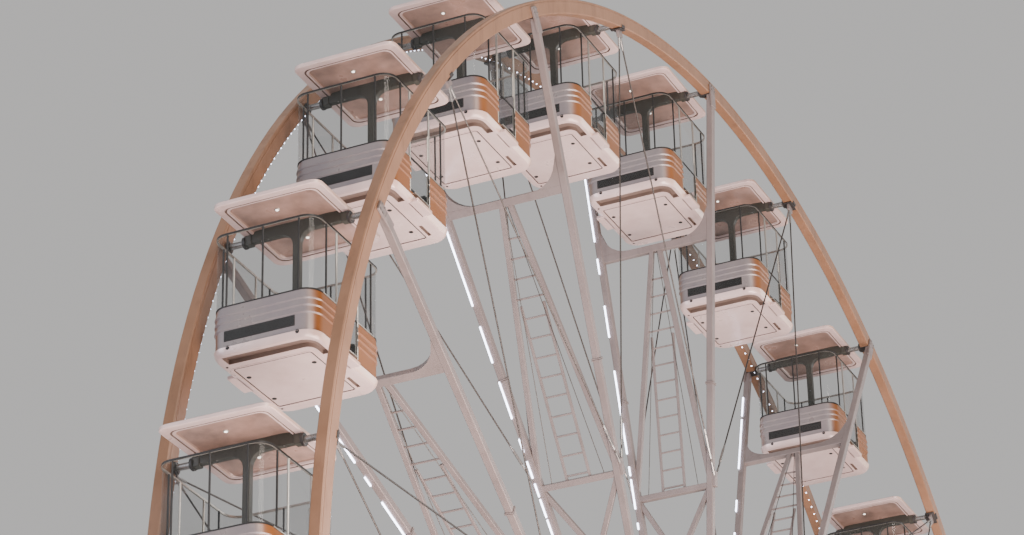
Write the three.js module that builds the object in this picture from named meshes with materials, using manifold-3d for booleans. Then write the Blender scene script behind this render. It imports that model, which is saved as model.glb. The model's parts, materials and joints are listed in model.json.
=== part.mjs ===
// Ferris wheel with hanging cabins on an open frame of twin-spoke frames and stay cables.
// Millimetres, +Z up. The wheel turns about the Y axis. The origin is on the ground below the hub.
// "near" is the -Y side, "far" is the +Y side, "left" is -X and "right" is +X.

import * as THREE from 'three';
import { mergeVertices } from 'three/addons/utils/BufferGeometryUtils.js';
import Module from 'manifold-3d';

const wasm = await Module();
wasm.setup();

// Driving dimensions of the wheel
const HUB_HEIGHT = 18300;
const RIM_RADIUS = 15000;
const RIM_DEPTH = 255;
const RIM_WIDTH = 170;
const RIM_OFFSET = 1130;
const RIM_SEGMENTS = 72;
const PIVOT_RADIUS = 14940;
const FRAME_COUNT = 12;
const CABIN_COUNT = 24;
const WHEEL_PHASE = THREE.MathUtils.degToRad(4.3);

// Spoke frames: u runs out along the radius, v along the axle
const SPOKE_OFFSET = 1215;
const SPOKE_WIDTH = 110;
const SPOKE_DEPTH = 120;
const FORK_THICKNESS = 36;
const FORK_HALF_LENGTH = 85;
const FORK_BELOW = 260;
const FORK_ABOVE = 30;
const OUTER_BEAM_AT = 12284;
const OUTER_BEAM_WIDTH = 130;
const HAUNCH_RADIUS = 480;
const HAUNCH_HOLLOW = 60;
const HAUNCH_INSET = 8;
const MIDDLE_BEAM_AT = 7906;
const INNER_BEAM_AT = 6750;
const BEAM_WIDTH = 100;
const BRACE_WIDTH = 80;
const BRACE_DEPTH = 80;
const BRACE_HEAD_SPREAD = 65;
const LADDER_HALF_WIDTH = 190;
const LADDER_STILE = 40;
const LADDER_TOP_AT = 10700;

// Hub, axle and stay cables
const HUB_RADIUS = 900;
const HUB_HALF_WIDTH = 200;
const HUB_SEGMENTS = 24;
const SLEEVE_RADIUS = 270;
const SLEEVE_HALF_LENGTH = 480;
const AXLE_RADIUS = 150;
const AXLE_HALF_LENGTH = 1560;
const RUNNING_CLEARANCE = 0.5;
const CABLE_RADIUS = 13;
const CABLE_LUG_AT = 8000;
const LUG_THICKNESS = 44;
const RIM_LUG = { height: 130, length: 170 };
const SPOKE_LUG = { halfLength: 130, depth: 110 };

// Cabins, measured from the pivot line
const CABIN_HALF_X = 950;
const CABIN_HALF_Y = 775;
const CABIN_CORNER = 250;
const CABIN_WALL = 50;
const CABIN_INNER_CORNER = 120;
const TUB_TOP = -1430;
const TUB_BEVEL_TOP = -2010;
const TUB_BEVEL_SIZE = 60;
const TUB_BOTTOM = -2120;
const FLOOR_TOP = -1960;
const ROOF_HALF_X = 920;
const ROOF_HALF_Y = 790;
const ROOF_CORNER = 100;
const ROOF_TOP = 180;
const ROOF_BOTTOM = 75;
const ROOF_LIP = 70;
const ROOF_SKIN = 40;
const HANGER_DEPTH = 100;
const HANGER_BEAM_BOTTOM = -50;
const COLUMN_HALF_WIDTH = 65;
const ARCH_RADIUS = 170;
const DOORWAY_X = [-330, 230];
const DOOR_POST = 45;
const WINDOW_TOP = -365;
const SILL_X = [-300, 150];
const SILL_REACH = 850;
const SILL_TOP = -2060;
const BENCH_X = [520, 910];
const BENCH_HALF_LENGTH = 560;
const BENCH_TOP = -1540;
const PIVOT_PIN_RADIUS = 45;
const BOSS_RADIUS = 85;
const BOSS_LENGTH = 40;

// Towers, base and boarding platform
const HEAD_INSIDE = 700;
const HEAD_OUTSIDE = 1500;
const HEAD_HALF_TOP = 360;
const HEAD_HALF_BOTTOM = 760;
const HEAD_ABOVE = 420;
const HEAD_BELOW = 640;
const LEG_WIDTH = 440;
const LEG_DEPTH = 340;
const LEG_TOP = { x: 330, y: 1130, z: -150 };
const FOOT_X = 7000;
const FOOT_Y = 4200;
const SILL_HEIGHT = 400;
const SILL_WIDTH = 500;
const SILL_HALF_LENGTH = 7600;
const CROSS_SILL_WIDTH = 400;
const DECK_HALF_X = 4500;
const DECK_TOP = 1000;
const DECK_THICKNESS = 100;
const DECK_POST = 150;
const DECK_POST_X = [-4200, -1400, 1400, 4200];
const DECK_POST_Y = [-2200, 0, 2200];
const STEP_COUNT = 4;
const STEP_RUN = 300;
const STAIR_HALF_WIDTH = 1000;
const RAIL_HEIGHT = 1100;
const RAIL_SIZE = 50;
const RAIL_INSET = 60;
const RAIL_LANE = 1450;
const RAIL_BAYS = 2;

// Gap left where two pieces touch, and how far the solids of one piece run into each other
const SEAT_GAP = 0.3;
const LAP = 10;
const THIN_LAP = 5;

// Finishes
const paint = (color, roughness = 0.5, metalness = 0.1) =>
  new THREE.MeshStandardMaterial({ color, roughness, metalness });
const RIM_PAINT = paint(0x9a7257, 0.42);
const SPOKE_PAINT = paint(0x8f8582, 0.45);
const HUB_PAINT = paint(0x7d7470, 0.45);
const CABLE_STEEL = paint(0x6f6c6a, 0.35, 0.9);
const CABIN_SHELL = paint(0xc9bab6, 0.3, 0.2);
const AXLE_STEEL = paint(0x8a8a8c, 0.3, 0.9);
const TOWER_PAINT = paint(0x8f8582, 0.45);
const BASE_PAINT = paint(0x5f5a58, 0.55);
const DECK_METAL = paint(0x77736f, 0.5, 0.6);

/** Turns a closed geometry into a solid for joining and cutting. */
function solid(geometry) {
  const bare = geometry.clone();
  for (const name of Object.keys(bare.attributes)) {
    if (name !== 'position') bare.deleteAttribute(name);
  }
  const merged = mergeVertices(bare, 1e-3);
  const corners = merged.index.array;
  const triVerts = [];
  for (let i = 0; i < corners.length; i += 3) {
    const [a, b, c] = [corners[i], corners[i + 1], corners[i + 2]];
    if (a !== b && b !== c && c !== a) triVerts.push(a, b, c);
  }
  return new wasm.Manifold(new wasm.Mesh({
    numProp: 3,
    vertProperties: new Float32Array(merged.attributes.position.array),
    triVerts: new Uint32Array(triVerts),
  }));
}

/** Turns a joined or cut solid back into a geometry. */
function geometryOf(body) {
  const mesh = body.getMesh();
  const geometry = new THREE.BufferGeometry();
  geometry.setAttribute('position', new THREE.BufferAttribute(new Float32Array(mesh.vertProperties), 3));
  geometry.setIndex(new THREE.BufferAttribute(new Uint32Array(mesh.triVerts), 1));
  return geometry;
}

/** Joins closed geometries into one solid. */
function join(geometries) {
  return geometries.map(solid).reduce((whole, next) => whole.add(next));
}

/** A box between two opposite corners. */
function block([x0, y0, z0], [x1, y1, z1]) {
  return new THREE.BoxGeometry(x1 - x0, y1 - y0, z1 - z0)
    .translate((x0 + x1) / 2, (y0 + y1) / 2, (z0 + z1) / 2);
}

/** A box between two values in X, in Y and in Z, given in any order. */
function span(x, y, z) {
  const low = [x, y, z].map((pair) => Math.min(...pair));
  const high = [x, y, z].map((pair) => Math.max(...pair));
  return block(low, high);
}

/** An outline in X and Y made into a prism between two heights. */
function prism(shape, low, high, curveSegments = 3) {
  return new THREE.ExtrudeGeometry(shape, { depth: high - low, bevelEnabled: false, curveSegments })
    .translate(0, 0, low);
}

/** A closed outline through a list of points. */
function polygon(points) {
  return new THREE.Shape(points.map(([x, y]) => new THREE.Vector2(x, y)));
}

/** A rectangle about the origin whose corners are quarter circles of a few straight steps. */
function roundedRectangle(halfX, halfY, radius, stepsPerCorner) {
  const points = [];
  for (const [signX, signY, start] of [[1, 1, 0], [-1, 1, 1], [-1, -1, 2], [1, -1, 3]]) {
    for (let i = 0; i <= stepsPerCorner; i += 1) {
      const angle = (start + i / stepsPerCorner) * (Math.PI / 2);
      points.push([signX * (halfX - radius) + radius * Math.cos(angle),
        signY * (halfY - radius) + radius * Math.sin(angle)]);
    }
  }
  return polygon(points);
}

/** A straight bar in the u-v plane of a spoke frame, square across at both ends. */
function flatBar([u0, v0], [u1, v1], width, depth) {
  const length = Math.hypot(u1 - u0, v1 - v0);
  return new THREE.BoxGeometry(length, width, depth)
    .rotateZ(Math.atan2(v1 - v0, u1 - u0))
    .translate((u0 + u1) / 2, (v0 + v1) / 2, 0);
}

/** A straight rod between two points. */
function rod(from, to, radius, sides) {
  const along = new THREE.Vector3().subVectors(to, from);
  const turn = new THREE.Quaternion().setFromUnitVectors(
    new THREE.Vector3(0, 1, 0), along.clone().normalize());
  return new THREE.CylinderGeometry(radius, radius, along.length(), sides)
    .applyQuaternion(turn)
    .translate(...new THREE.Vector3().addVectors(from, to).multiplyScalar(0.5).toArray());
}

/** A ring about the Y axis from a closed profile of radius and height along the axis. */
function turned(profile, segments, flatAngle) {
  const points = profile.map(([r, y]) => new THREE.Vector2(r, y));
  points.push(points[0].clone());
  const start = Math.PI / 2 - flatAngle - Math.PI / segments;
  return new THREE.LatheGeometry(points, segments, start, 2 * Math.PI);
}

/** A named piece with its own finish. */
function piece(name, geometry, material) {
  const mesh = new THREE.Mesh(geometry, material.clone());
  mesh.name = name;
  return mesh;
}

const twoDigits = (n) => String(n).padStart(2, '0');
const sides = [{ name: 'near', sign: -1 }, { name: 'far', sign: 1 }];
const ends = [{ name: 'left', sign: -1 }, { name: 'right', sign: 1 }];

// Angles are counted from +X towards +Z
const bayAngle = (2 * Math.PI) / FRAME_COUNT;
const frameAngle = (k) => WHEEL_PHASE + k * bayAngle;
const cabinAngle = (n) => WHEEL_PHASE + n * ((2 * Math.PI) / CABIN_COUNT);
const rimInside = (RIM_RADIUS - RIM_DEPTH / 2) * Math.cos(Math.PI / RIM_SEGMENTS);
const spokeLine = (u) => (SPOKE_OFFSET * u) / RIM_RADIUS;

/** One rim: a rectangular tube bent to a circle, with a bearing boss on its inner side at each cabin. */
function rim(sign) {
  const inner = RIM_RADIUS - RIM_DEPTH / 2;
  const outer = RIM_RADIUS + RIM_DEPTH / 2;
  const middle = sign * RIM_OFFSET;
  const half = RIM_WIDTH / 2;
  const ring = turned(
    [[inner, middle - half], [outer, middle - half], [outer, middle + half], [inner, middle + half]],
    RIM_SEGMENTS, WHEEL_PHASE);
  const bosses = [];
  for (let n = 0; n < CABIN_COUNT; n += 1) {
    const angle = cabinAngle(n);
    const centre = sign * (RIM_OFFSET - half - BOSS_LENGTH / 2 + 1);
    bosses.push(new THREE.CylinderGeometry(BOSS_RADIUS, BOSS_RADIUS, BOSS_LENGTH + 2, 6)
      .translate(PIVOT_RADIUS * Math.cos(angle), centre, PIVOT_RADIUS * Math.sin(angle)));
  }
  return geometryOf(join([ring, ...bosses]));
}

/** One haunch: the rounded corner between the outer cross-beam and a spoke. */
function haunch(sign) {
  const base = OUTER_BEAM_AT + OUTER_BEAM_WIDTH / 2 - THIN_LAP;
  const edge = spokeLine(base) - SPOKE_WIDTH / 2 + THIN_LAP;
  const tip = spokeLine(base + HAUNCH_RADIUS) - SPOKE_WIDTH / 2 + THIN_LAP;
  const shape = new THREE.Shape();
  shape.moveTo(base, sign * edge);
  shape.lineTo(base + HAUNCH_RADIUS, sign * tip);
  shape.quadraticCurveTo(base + HAUNCH_HOLLOW, sign * (edge - HAUNCH_HOLLOW),
    base, sign * (edge - HAUNCH_RADIUS));
  shape.closePath();
  return prism(shape, HAUNCH_INSET - SPOKE_DEPTH / 2, SPOKE_DEPTH / 2 - HAUNCH_INSET, 4);
}

/** One spoke frame: two spokes from the hub to plates on the rims, cross-beams, braces and ladder stiles. */
function spokeFrame() {
  const outerEnd = rimInside - SEAT_GAP;
  const bars = [];
  const rimFace = RIM_OFFSET + RIM_WIDTH / 2 + SEAT_GAP;
  for (const { sign } of sides) {
    bars.push(span([outerEnd - FORK_BELOW, RIM_RADIUS + FORK_ABOVE],
      [sign * rimFace, sign * (rimFace + FORK_THICKNESS)], [-FORK_HALF_LENGTH, FORK_HALF_LENGTH]));
    bars.push(prism(polygon([
      [HUB_RADIUS + SEAT_GAP, sign * (spokeLine(HUB_RADIUS) - SPOKE_WIDTH / 2)],
      [outerEnd, sign * (spokeLine(outerEnd) - SPOKE_WIDTH / 2)],
      [outerEnd, sign * (spokeLine(outerEnd) + SPOKE_WIDTH / 2)],
      [HUB_RADIUS + SEAT_GAP, sign * (spokeLine(HUB_RADIUS) + SPOKE_WIDTH / 2)],
    ]), -SPOKE_DEPTH / 2, SPOKE_DEPTH / 2));
    bars.push(haunch(sign));
    const root = MIDDLE_BEAM_AT + BRACE_WIDTH;
    bars.push(flatBar([OUTER_BEAM_AT, sign * BRACE_HEAD_SPREAD], [root, sign * spokeLine(root)],
      BRACE_WIDTH, BRACE_DEPTH));
    bars.push(flatBar([INNER_BEAM_AT, 0], [MIDDLE_BEAM_AT, sign * spokeLine(MIDDLE_BEAM_AT)],
      BRACE_WIDTH, BRACE_DEPTH));
    bars.push(flatBar([MIDDLE_BEAM_AT, sign * LADDER_HALF_WIDTH], [LADDER_TOP_AT, sign * LADDER_HALF_WIDTH],
      LADDER_STILE, LADDER_STILE));
  }
  for (const [at, width] of [[OUTER_BEAM_AT, OUTER_BEAM_WIDTH], [MIDDLE_BEAM_AT, BEAM_WIDTH],
    [INNER_BEAM_AT, BEAM_WIDTH]]) {
    bars.push(flatBar([at, -spokeLine(at)], [at, spokeLine(at)], width, SPOKE_DEPTH - 20));
  }
  return geometryOf(join(bars));
}

/** The hub: a drum that the spoke frames stand on, with a long sleeve on the axle. */
function hub() {
  const flat = HUB_RADIUS / Math.cos(Math.PI / HUB_SEGMENTS);
  const bore = (AXLE_RADIUS + RUNNING_CLEARANCE) / Math.cos(Math.PI / HUB_SEGMENTS);
  return turned([
    [bore, -SLEEVE_HALF_LENGTH], [SLEEVE_RADIUS, -SLEEVE_HALF_LENGTH], [SLEEVE_RADIUS, -HUB_HALF_WIDTH],
    [flat, -HUB_HALF_WIDTH], [flat, HUB_HALF_WIDTH], [SLEEVE_RADIUS, HUB_HALF_WIDTH],
    [SLEEVE_RADIUS, SLEEVE_HALF_LENGTH], [bore, SLEEVE_HALF_LENGTH],
  ], HUB_SEGMENTS, WHEEL_PHASE);
}

/** The stay cables of one side: a zigzag from lugs under the rim, between frames, to lugs on the spokes. */
function stayCables(sign) {
  const rimLugAt = rimInside - SEAT_GAP;
  const spokeLug = spokeLine(CABLE_LUG_AT) + SPOKE_WIDTH / 2 + SEAT_GAP + LUG_THICKNESS / 2 + 1;
  const slope = spokeLine(1);
  const around = (angle, radius, y) => new THREE.Vector3(
    radius * Math.cos(angle), sign * y, radius * Math.sin(angle));
  const parts = [];
  for (let k = 0; k < FRAME_COUNT; k += 1) {
    const frame = frameAngle(k);
    const middle = frame + bayAngle / 2;
    const top = around(middle, rimLugAt - RIM_LUG.height / 2, RIM_OFFSET);
    parts.push(new THREE.BoxGeometry(RIM_LUG.height, LUG_THICKNESS, RIM_LUG.length)
      .translate(rimLugAt - RIM_LUG.height / 2, sign * RIM_OFFSET, 0)
      .rotateY(-middle));
    const reach = SPOKE_LUG.halfLength;
    parts.push(flatBar([CABLE_LUG_AT - reach, sign * (spokeLug - reach * slope)],
      [CABLE_LUG_AT + reach, sign * (spokeLug + reach * slope)], LUG_THICKNESS, SPOKE_LUG.depth)
      .rotateY(-frame));
    parts.push(rod(top, around(frame, CABLE_LUG_AT, spokeLug), CABLE_RADIUS, 4));
    parts.push(rod(top, around(frame + bayAngle, CABLE_LUG_AT, spokeLug), CABLE_RADIUS, 4));
  }
  return geometryOf(join(parts));
}

/** The opening in the hanger frame on one side of the column, rounded at its top corners. */
function hangerArch(sign) {
  const past = sign * (CABIN_HALF_Y + ARCH_RADIUS);
  const arch = new THREE.Shape();
  arch.moveTo(sign * COLUMN_HALF_WIDTH, FLOOR_TOP);
  arch.lineTo(past, FLOOR_TOP);
  arch.lineTo(past, HANGER_BEAM_BOTTOM);
  arch.lineTo(sign * (COLUMN_HALF_WIDTH + ARCH_RADIUS), HANGER_BEAM_BOTTOM);
  arch.quadraticCurveTo(sign * COLUMN_HALF_WIDTH, HANGER_BEAM_BOTTOM,
    sign * COLUMN_HALF_WIDTH, HANGER_BEAM_BOTTOM - ARCH_RADIUS);
  return prism(arch, -HANGER_DEPTH, HANGER_DEPTH, 2).rotateX(Math.PI / 2).rotateZ(Math.PI / 2);
}

/** One cabin about its pivot: tub with doorways, benches, hanger with its column and pins, and roof. */
function cabin() {
  const lower = new THREE.ExtrudeGeometry(
    roundedRectangle(CABIN_HALF_X - TUB_BEVEL_SIZE, CABIN_HALF_Y - TUB_BEVEL_SIZE,
      CABIN_CORNER - TUB_BEVEL_SIZE, 2),
    { depth: 60, bevelSegments: 1, bevelSize: TUB_BEVEL_SIZE, bevelThickness: TUB_BEVEL_TOP - TUB_BOTTOM })
    .translate(0, 0, TUB_BEVEL_TOP);
  const upper = prism(roundedRectangle(CABIN_HALF_X, CABIN_HALF_Y, CABIN_CORNER, 2),
    TUB_BEVEL_TOP + 30, TUB_TOP);
  const inside = prism(roundedRectangle(CABIN_HALF_X - CABIN_WALL, CABIN_HALF_Y - CABIN_WALL,
    CABIN_INNER_CORNER, 2), FLOOR_TOP, TUB_TOP + LAP);
  const tub = solid(lower).add(solid(upper)).subtract(solid(inside));

  const roofOuter = prism(roundedRectangle(ROOF_HALF_X, ROOF_HALF_Y, ROOF_CORNER, 1),
    ROOF_BOTTOM, ROOF_TOP);
  const tray = prism(roundedRectangle(ROOF_HALF_X - ROOF_LIP, ROOF_HALF_Y - ROOF_LIP,
    ROOF_CORNER - ROOF_LIP / 2, 1), ROOF_BOTTOM - LAP, ROOF_TOP - ROOF_SKIN);
  const roof = solid(roofOuter).subtract(solid(tray));

  const half = HANGER_DEPTH / 2;
  const reach = ROOF_HALF_Y - 2 * LAP;
  let hanger = solid(block([-half, -reach, FLOOR_TOP - LAP], [half, reach, ROOF_TOP - LAP]));
  let body = tub;
  for (const { sign } of sides) {
    hanger = hanger.subtract(solid(hangerArch(sign)));
    const within = sign * (CABIN_HALF_Y - 2 * CABIN_WALL);
    body = body.subtract(solid(span(DOORWAY_X, [within, sign * SILL_REACH], [FLOOR_TOP, TUB_TOP + LAP])))
      .add(solid(span(SILL_X, [within, sign * SILL_REACH], [TUB_BOTTOM, SILL_TOP])));
    const jambIn = CABIN_HALF_Y - CABIN_WALL;
    for (const jamb of [DOORWAY_X[0] - DOOR_POST, DOORWAY_X[1]]) {
      body = body.add(solid(span([jamb, jamb + DOOR_POST], [sign * jambIn, sign * (jambIn + DOOR_POST)],
        [TUB_TOP - 2 * LAP, WINDOW_TOP])));
    }
    body = body.add(solid(span([sign * BENCH_X[0], sign * BENCH_X[1]],
      [-BENCH_HALF_LENGTH, BENCH_HALF_LENGTH], [FLOOR_TOP - LAP, BENCH_TOP])));
  }
  const pinHalf = RIM_OFFSET - RIM_WIDTH / 2 - BOSS_LENGTH - SEAT_GAP;
  const pin = new THREE.CylinderGeometry(PIVOT_PIN_RADIUS, PIVOT_PIN_RADIUS, 2 * pinHalf, 6);
  return geometryOf(body.add(roof).add(hanger).add(solid(pin)));
}

/** Outline of a tower head in X and Z, grown by a margin. */
function headOutline(margin) {
  return polygon([
    [-HEAD_HALF_BOTTOM - margin, -HEAD_BELOW - margin], [HEAD_HALF_BOTTOM + margin, -HEAD_BELOW - margin],
    [HEAD_HALF_TOP + margin, HEAD_ABOVE + margin], [-HEAD_HALF_TOP - margin, HEAD_ABOVE + margin]]);
}

/** The solid of a tower head about the hub's centre, grown by a margin. */
function headSolid(sign, margin) {
  const plate = prism(headOutline(margin), HEAD_INSIDE - margin, HEAD_OUTSIDE + margin)
    .rotateX(Math.PI / 2);
  return solid(sign < 0 ? plate : plate.rotateZ(Math.PI));
}

/** One tower head: the box that holds the end of the axle. */
function towerHead(sign) {
  const bore = new THREE.CylinderGeometry(AXLE_RADIUS + SEAT_GAP, AXLE_RADIUS + SEAT_GAP, 4000, 24);
  return geometryOf(headSolid(sign, 0).subtract(solid(bore)));
}

/** One tower leg, from its head down to the sill. */
function towerLeg(signX, signY) {
  const top = new THREE.Vector3(signX * LEG_TOP.x, signY * LEG_TOP.y, LEG_TOP.z);
  const ground = SILL_HEIGHT + SEAT_GAP - HUB_HEIGHT;
  const foot = new THREE.Vector3(signX * FOOT_X, signY * FOOT_Y, ground);
  const beyond = new THREE.Vector3().subVectors(foot, top).multiplyScalar(1.04).add(top);
  const along = new THREE.Vector3().subVectors(beyond, top);
  const zAxis = along.clone().normalize();
  const yAxis = new THREE.Vector3(0, 1, 0).addScaledVector(zAxis, -zAxis.y).normalize();
  const xAxis = new THREE.Vector3().crossVectors(yAxis, zAxis);
  const beam = new THREE.BoxGeometry(LEG_WIDTH, LEG_DEPTH, along.length())
    .applyMatrix4(new THREE.Matrix4().makeBasis(xAxis, yAxis, zAxis))
    .translate(...new THREE.Vector3().addVectors(top, beyond).multiplyScalar(0.5).toArray());
  const below = block([-20000, -20000, ground - 4000], [20000, 20000, ground]);
  return geometryOf(solid(beam).subtract(headSolid(signY, SEAT_GAP)).subtract(solid(below)));
}

/** The boarding deck on its posts; the outer posts stand on the sills. */
function deck() {
  const halfY = FOOT_Y + SILL_WIDTH / 2;
  const slab = block([-DECK_HALF_X, -halfY, DECK_TOP - DECK_THICKNESS], [DECK_HALF_X, halfY, DECK_TOP]);
  const parts = [slab];
  const half = DECK_POST / 2;
  const topIn = DECK_TOP - DECK_THICKNESS + LAP;
  for (const x of DECK_POST_X) {
    for (const y of DECK_POST_Y) parts.push(block([x - half, y - half, 0], [x + half, y + half, topIn]));
    for (const { sign } of sides) {
      parts.push(block([x - half, sign * FOOT_Y - half, SILL_HEIGHT + SEAT_GAP],
        [x + half, sign * FOOT_Y + half, topIn]));
    }
  }
  return geometryOf(join(parts));
}

/** One flight of steps, from the ground up to the deck's edge. */
function steps(sign) {
  const edge = FOOT_Y + SILL_WIDTH / 2 + SEAT_GAP;
  const rise = DECK_TOP / (STEP_COUNT + 1);
  const points = [[edge, 0], [edge + STEP_COUNT * STEP_RUN, 0]];
  for (let i = 1; i <= STEP_COUNT; i += 1) {
    const nose = edge + (STEP_COUNT + 1 - i) * STEP_RUN;
    points.push([nose, i * rise], [nose - STEP_RUN, i * rise]);
  }
  const flight = prism(polygon(points), -STAIR_HALF_WIDTH, STAIR_HALF_WIDTH)
    .rotateX(Math.PI / 2).rotateZ(Math.PI / 2);
  return sign > 0 ? flight : flight.rotateZ(Math.PI);
}

/** One corner railing on the deck: along the side from the stair, then along the end to the wheel's lane. */
function railing(signX, signY) {
  const sideY = FOOT_Y + SILL_WIDTH / 2 - RAIL_INSET;
  const endX = DECK_HALF_X - RAIL_INSET;
  const half = RAIL_SIZE / 2;
  const low = DECK_TOP + SEAT_GAP;
  const high = DECK_TOP + RAIL_HEIGHT;
  const start = STAIR_HALF_WIDTH + RAIL_SIZE;
  const parts = [];
  const box = (x0, y0, z0, x1, y1, z1) => parts.push(block(
    [Math.min(signX * x0, signX * x1), Math.min(signY * y0, signY * y1), z0],
    [Math.max(signX * x0, signX * x1), Math.max(signY * y0, signY * y1), z1]));
  for (let i = 0; i <= RAIL_BAYS; i += 1) {
    const x = start + (i * (endX - start)) / RAIL_BAYS;
    box(x - half, sideY - half, low, x + half, sideY + half, high);
  }
  for (let i = 1; i <= RAIL_BAYS; i += 1) {
    const y = sideY - (i * (sideY - RAIL_LANE)) / RAIL_BAYS;
    box(endX - half, y - half, low, endX + half, y + half, high);
  }
  for (const z of [(low + high) / 2, high - RAIL_SIZE]) {
    box(start - half, sideY - half, z, endX + half, sideY + half, z + RAIL_SIZE);
    box(endX - half, RAIL_LANE - half, z, endX + half, sideY + half, z + RAIL_SIZE);
  }
  return geometryOf(join(parts));
}

const ferrisWheel = new THREE.Group();

// Turning part
const wheel = new THREE.Group();
wheel.position.z = HUB_HEIGHT;
ferrisWheel.add(wheel);
for (const { name, sign } of sides) {
  wheel.add(piece(`rim_${name}`, rim(sign), RIM_PAINT));
  wheel.add(piece(`stay_cables_${name}`, stayCables(sign), CABLE_STEEL));
}
wheel.add(piece('hub', hub(), HUB_PAINT));
const frameGeometry = spokeFrame();
for (let k = 0; k < FRAME_COUNT; k += 1) {
  const mesh = piece(`spoke_frame_${twoDigits(k + 1)}`, frameGeometry, SPOKE_PAINT);
  mesh.rotation.y = -frameAngle(k);
  wheel.add(mesh);
}

// Cabins, level at their pivots
const cabinGeometry = cabin();
for (let n = 0; n < CABIN_COUNT; n += 1) {
  const mesh = piece(`cabin_${twoDigits(n + 1)}`, cabinGeometry, CABIN_SHELL);
  mesh.position.set(PIVOT_RADIUS * Math.cos(cabinAngle(n)), 0, PIVOT_RADIUS * Math.sin(cabinAngle(n)));
  wheel.add(mesh);
}

// Axle and towers
const towers = new THREE.Group();
towers.position.z = HUB_HEIGHT;
ferrisWheel.add(towers);
towers.add(piece('axle',
  new THREE.CylinderGeometry(AXLE_RADIUS, AXLE_RADIUS, 2 * AXLE_HALF_LENGTH, 24), AXLE_STEEL));
for (const side of sides) {
  towers.add(piece(`tower_head_${side.name}`, towerHead(side.sign), TOWER_PAINT));
  for (const end of ends) {
    towers.add(piece(`tower_leg_${side.name}_${end.name}`, towerLeg(end.sign, side.sign), TOWER_PAINT));
  }
}

// Base and boarding platform
for (const { name, sign } of sides) {
  const sill = new THREE.BoxGeometry(2 * SILL_HALF_LENGTH, SILL_WIDTH, SILL_HEIGHT);
  const mesh = piece(`sill_${name}`, sill, BASE_PAINT);
  mesh.position.set(0, sign * FOOT_Y, SILL_HEIGHT / 2);
  ferrisWheel.add(mesh);
  ferrisWheel.add(piece(`steps_${name}`, steps(sign), DECK_METAL));
}
const crossHalf = FOOT_Y - SILL_WIDTH / 2 - SEAT_GAP;
for (const { name, sign } of ends) {
  const sill = new THREE.BoxGeometry(CROSS_SILL_WIDTH, 2 * crossHalf, SILL_HEIGHT);
  const mesh = piece(`cross_sill_${name}`, sill, BASE_PAINT);
  mesh.position.set(sign * FOOT_X, 0, SILL_HEIGHT / 2);
  ferrisWheel.add(mesh);
}
ferrisWheel.add(piece('platform_deck', deck(), DECK_METAL));
for (const side of sides) {
  for (const end of ends) {
    ferrisWheel.add(piece(`railing_${side.name}_${end.name}`, railing(end.sign, side.sign), DECK_METAL));
  }
}

export default ferrisWheel;
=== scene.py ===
"""Looks of the observation wheel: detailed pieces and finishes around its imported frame, in metres."""

import json
import logging
import math
from dataclasses import dataclass, field
from enum import Enum
from typing import Iterable, Sequence

import bmesh
import bpy
from mathutils import Matrix, Vector

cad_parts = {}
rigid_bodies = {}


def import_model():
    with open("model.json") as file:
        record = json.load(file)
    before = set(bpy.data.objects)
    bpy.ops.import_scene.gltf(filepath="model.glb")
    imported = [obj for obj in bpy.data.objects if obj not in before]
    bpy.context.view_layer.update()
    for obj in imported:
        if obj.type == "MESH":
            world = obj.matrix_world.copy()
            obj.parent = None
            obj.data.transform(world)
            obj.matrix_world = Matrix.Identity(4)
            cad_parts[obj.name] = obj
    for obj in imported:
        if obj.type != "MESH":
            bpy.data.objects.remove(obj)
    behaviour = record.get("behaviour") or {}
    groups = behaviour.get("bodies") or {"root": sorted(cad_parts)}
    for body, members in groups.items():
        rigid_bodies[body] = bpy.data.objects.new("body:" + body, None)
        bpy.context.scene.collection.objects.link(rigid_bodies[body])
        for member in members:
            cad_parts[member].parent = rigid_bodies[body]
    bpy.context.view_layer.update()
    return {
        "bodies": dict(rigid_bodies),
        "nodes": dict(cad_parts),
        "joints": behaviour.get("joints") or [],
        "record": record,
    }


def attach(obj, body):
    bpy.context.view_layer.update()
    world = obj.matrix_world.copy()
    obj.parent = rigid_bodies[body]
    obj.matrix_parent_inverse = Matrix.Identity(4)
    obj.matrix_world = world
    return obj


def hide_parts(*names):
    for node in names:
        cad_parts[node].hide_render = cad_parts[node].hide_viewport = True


log = logging.getLogger("wheel")

HUB_HEIGHT = 18.3
RIM_RADIUS = 15.0
RIM_DEPTH = 0.255
RIM_WIDTH = 0.17
RIM_OFFSET = 1.13
PIVOT_RADIUS = 14.94
FRAMES = 12
CABINS = 24
PHASE = math.radians(4.3)
BAY = 2 * math.pi / FRAMES
# Distance of a spoke from the middle plane for each metre from the hub
SPOKE_SLOPE = 1.215 / RIM_RADIUS
# Solids of different nodes stop this far short of each other
FIT = 0.0003
SHARP = math.radians(32)
SIGNS = (-1, 1)


class Side(Enum):
    """The two sides of the wheel, named by the sign of Y."""

    NEAR = -1
    FAR = 1


class End(Enum):
    """The two ends of the base, named by the sign of X."""

    LEFT = -1
    RIGHT = 1


class Finish(Enum):
    """Every finish that a face can carry."""

    RIM = "rim enamel"
    FRAME = "frame enamel"
    HUB = "hub enamel"
    TOWER = "tower enamel"
    BASE = "base enamel"
    CLAMP = "blackened steel"
    ROPE = "galvanised rope"
    MACHINED = "machined steel"
    SHELL = "cabin shell"
    UNDERSIDE = "cabin underside"
    CHANNEL = "shaded channel"
    LINING = "roof lining"
    HANGER = "hanger enamel"
    TRIM = "black rubber trim"
    GLASS = "smoked glass"
    BENCH = "moulded bench"
    JAMB = "anodised jamb"
    LAMP = "lamp lens"
    STRIP = "light strip"
    DECK = "deck plate"
    RAIL = "galvanised rail"
    FLOOR = "pale floor"


ORDER = list(Finish)


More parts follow.
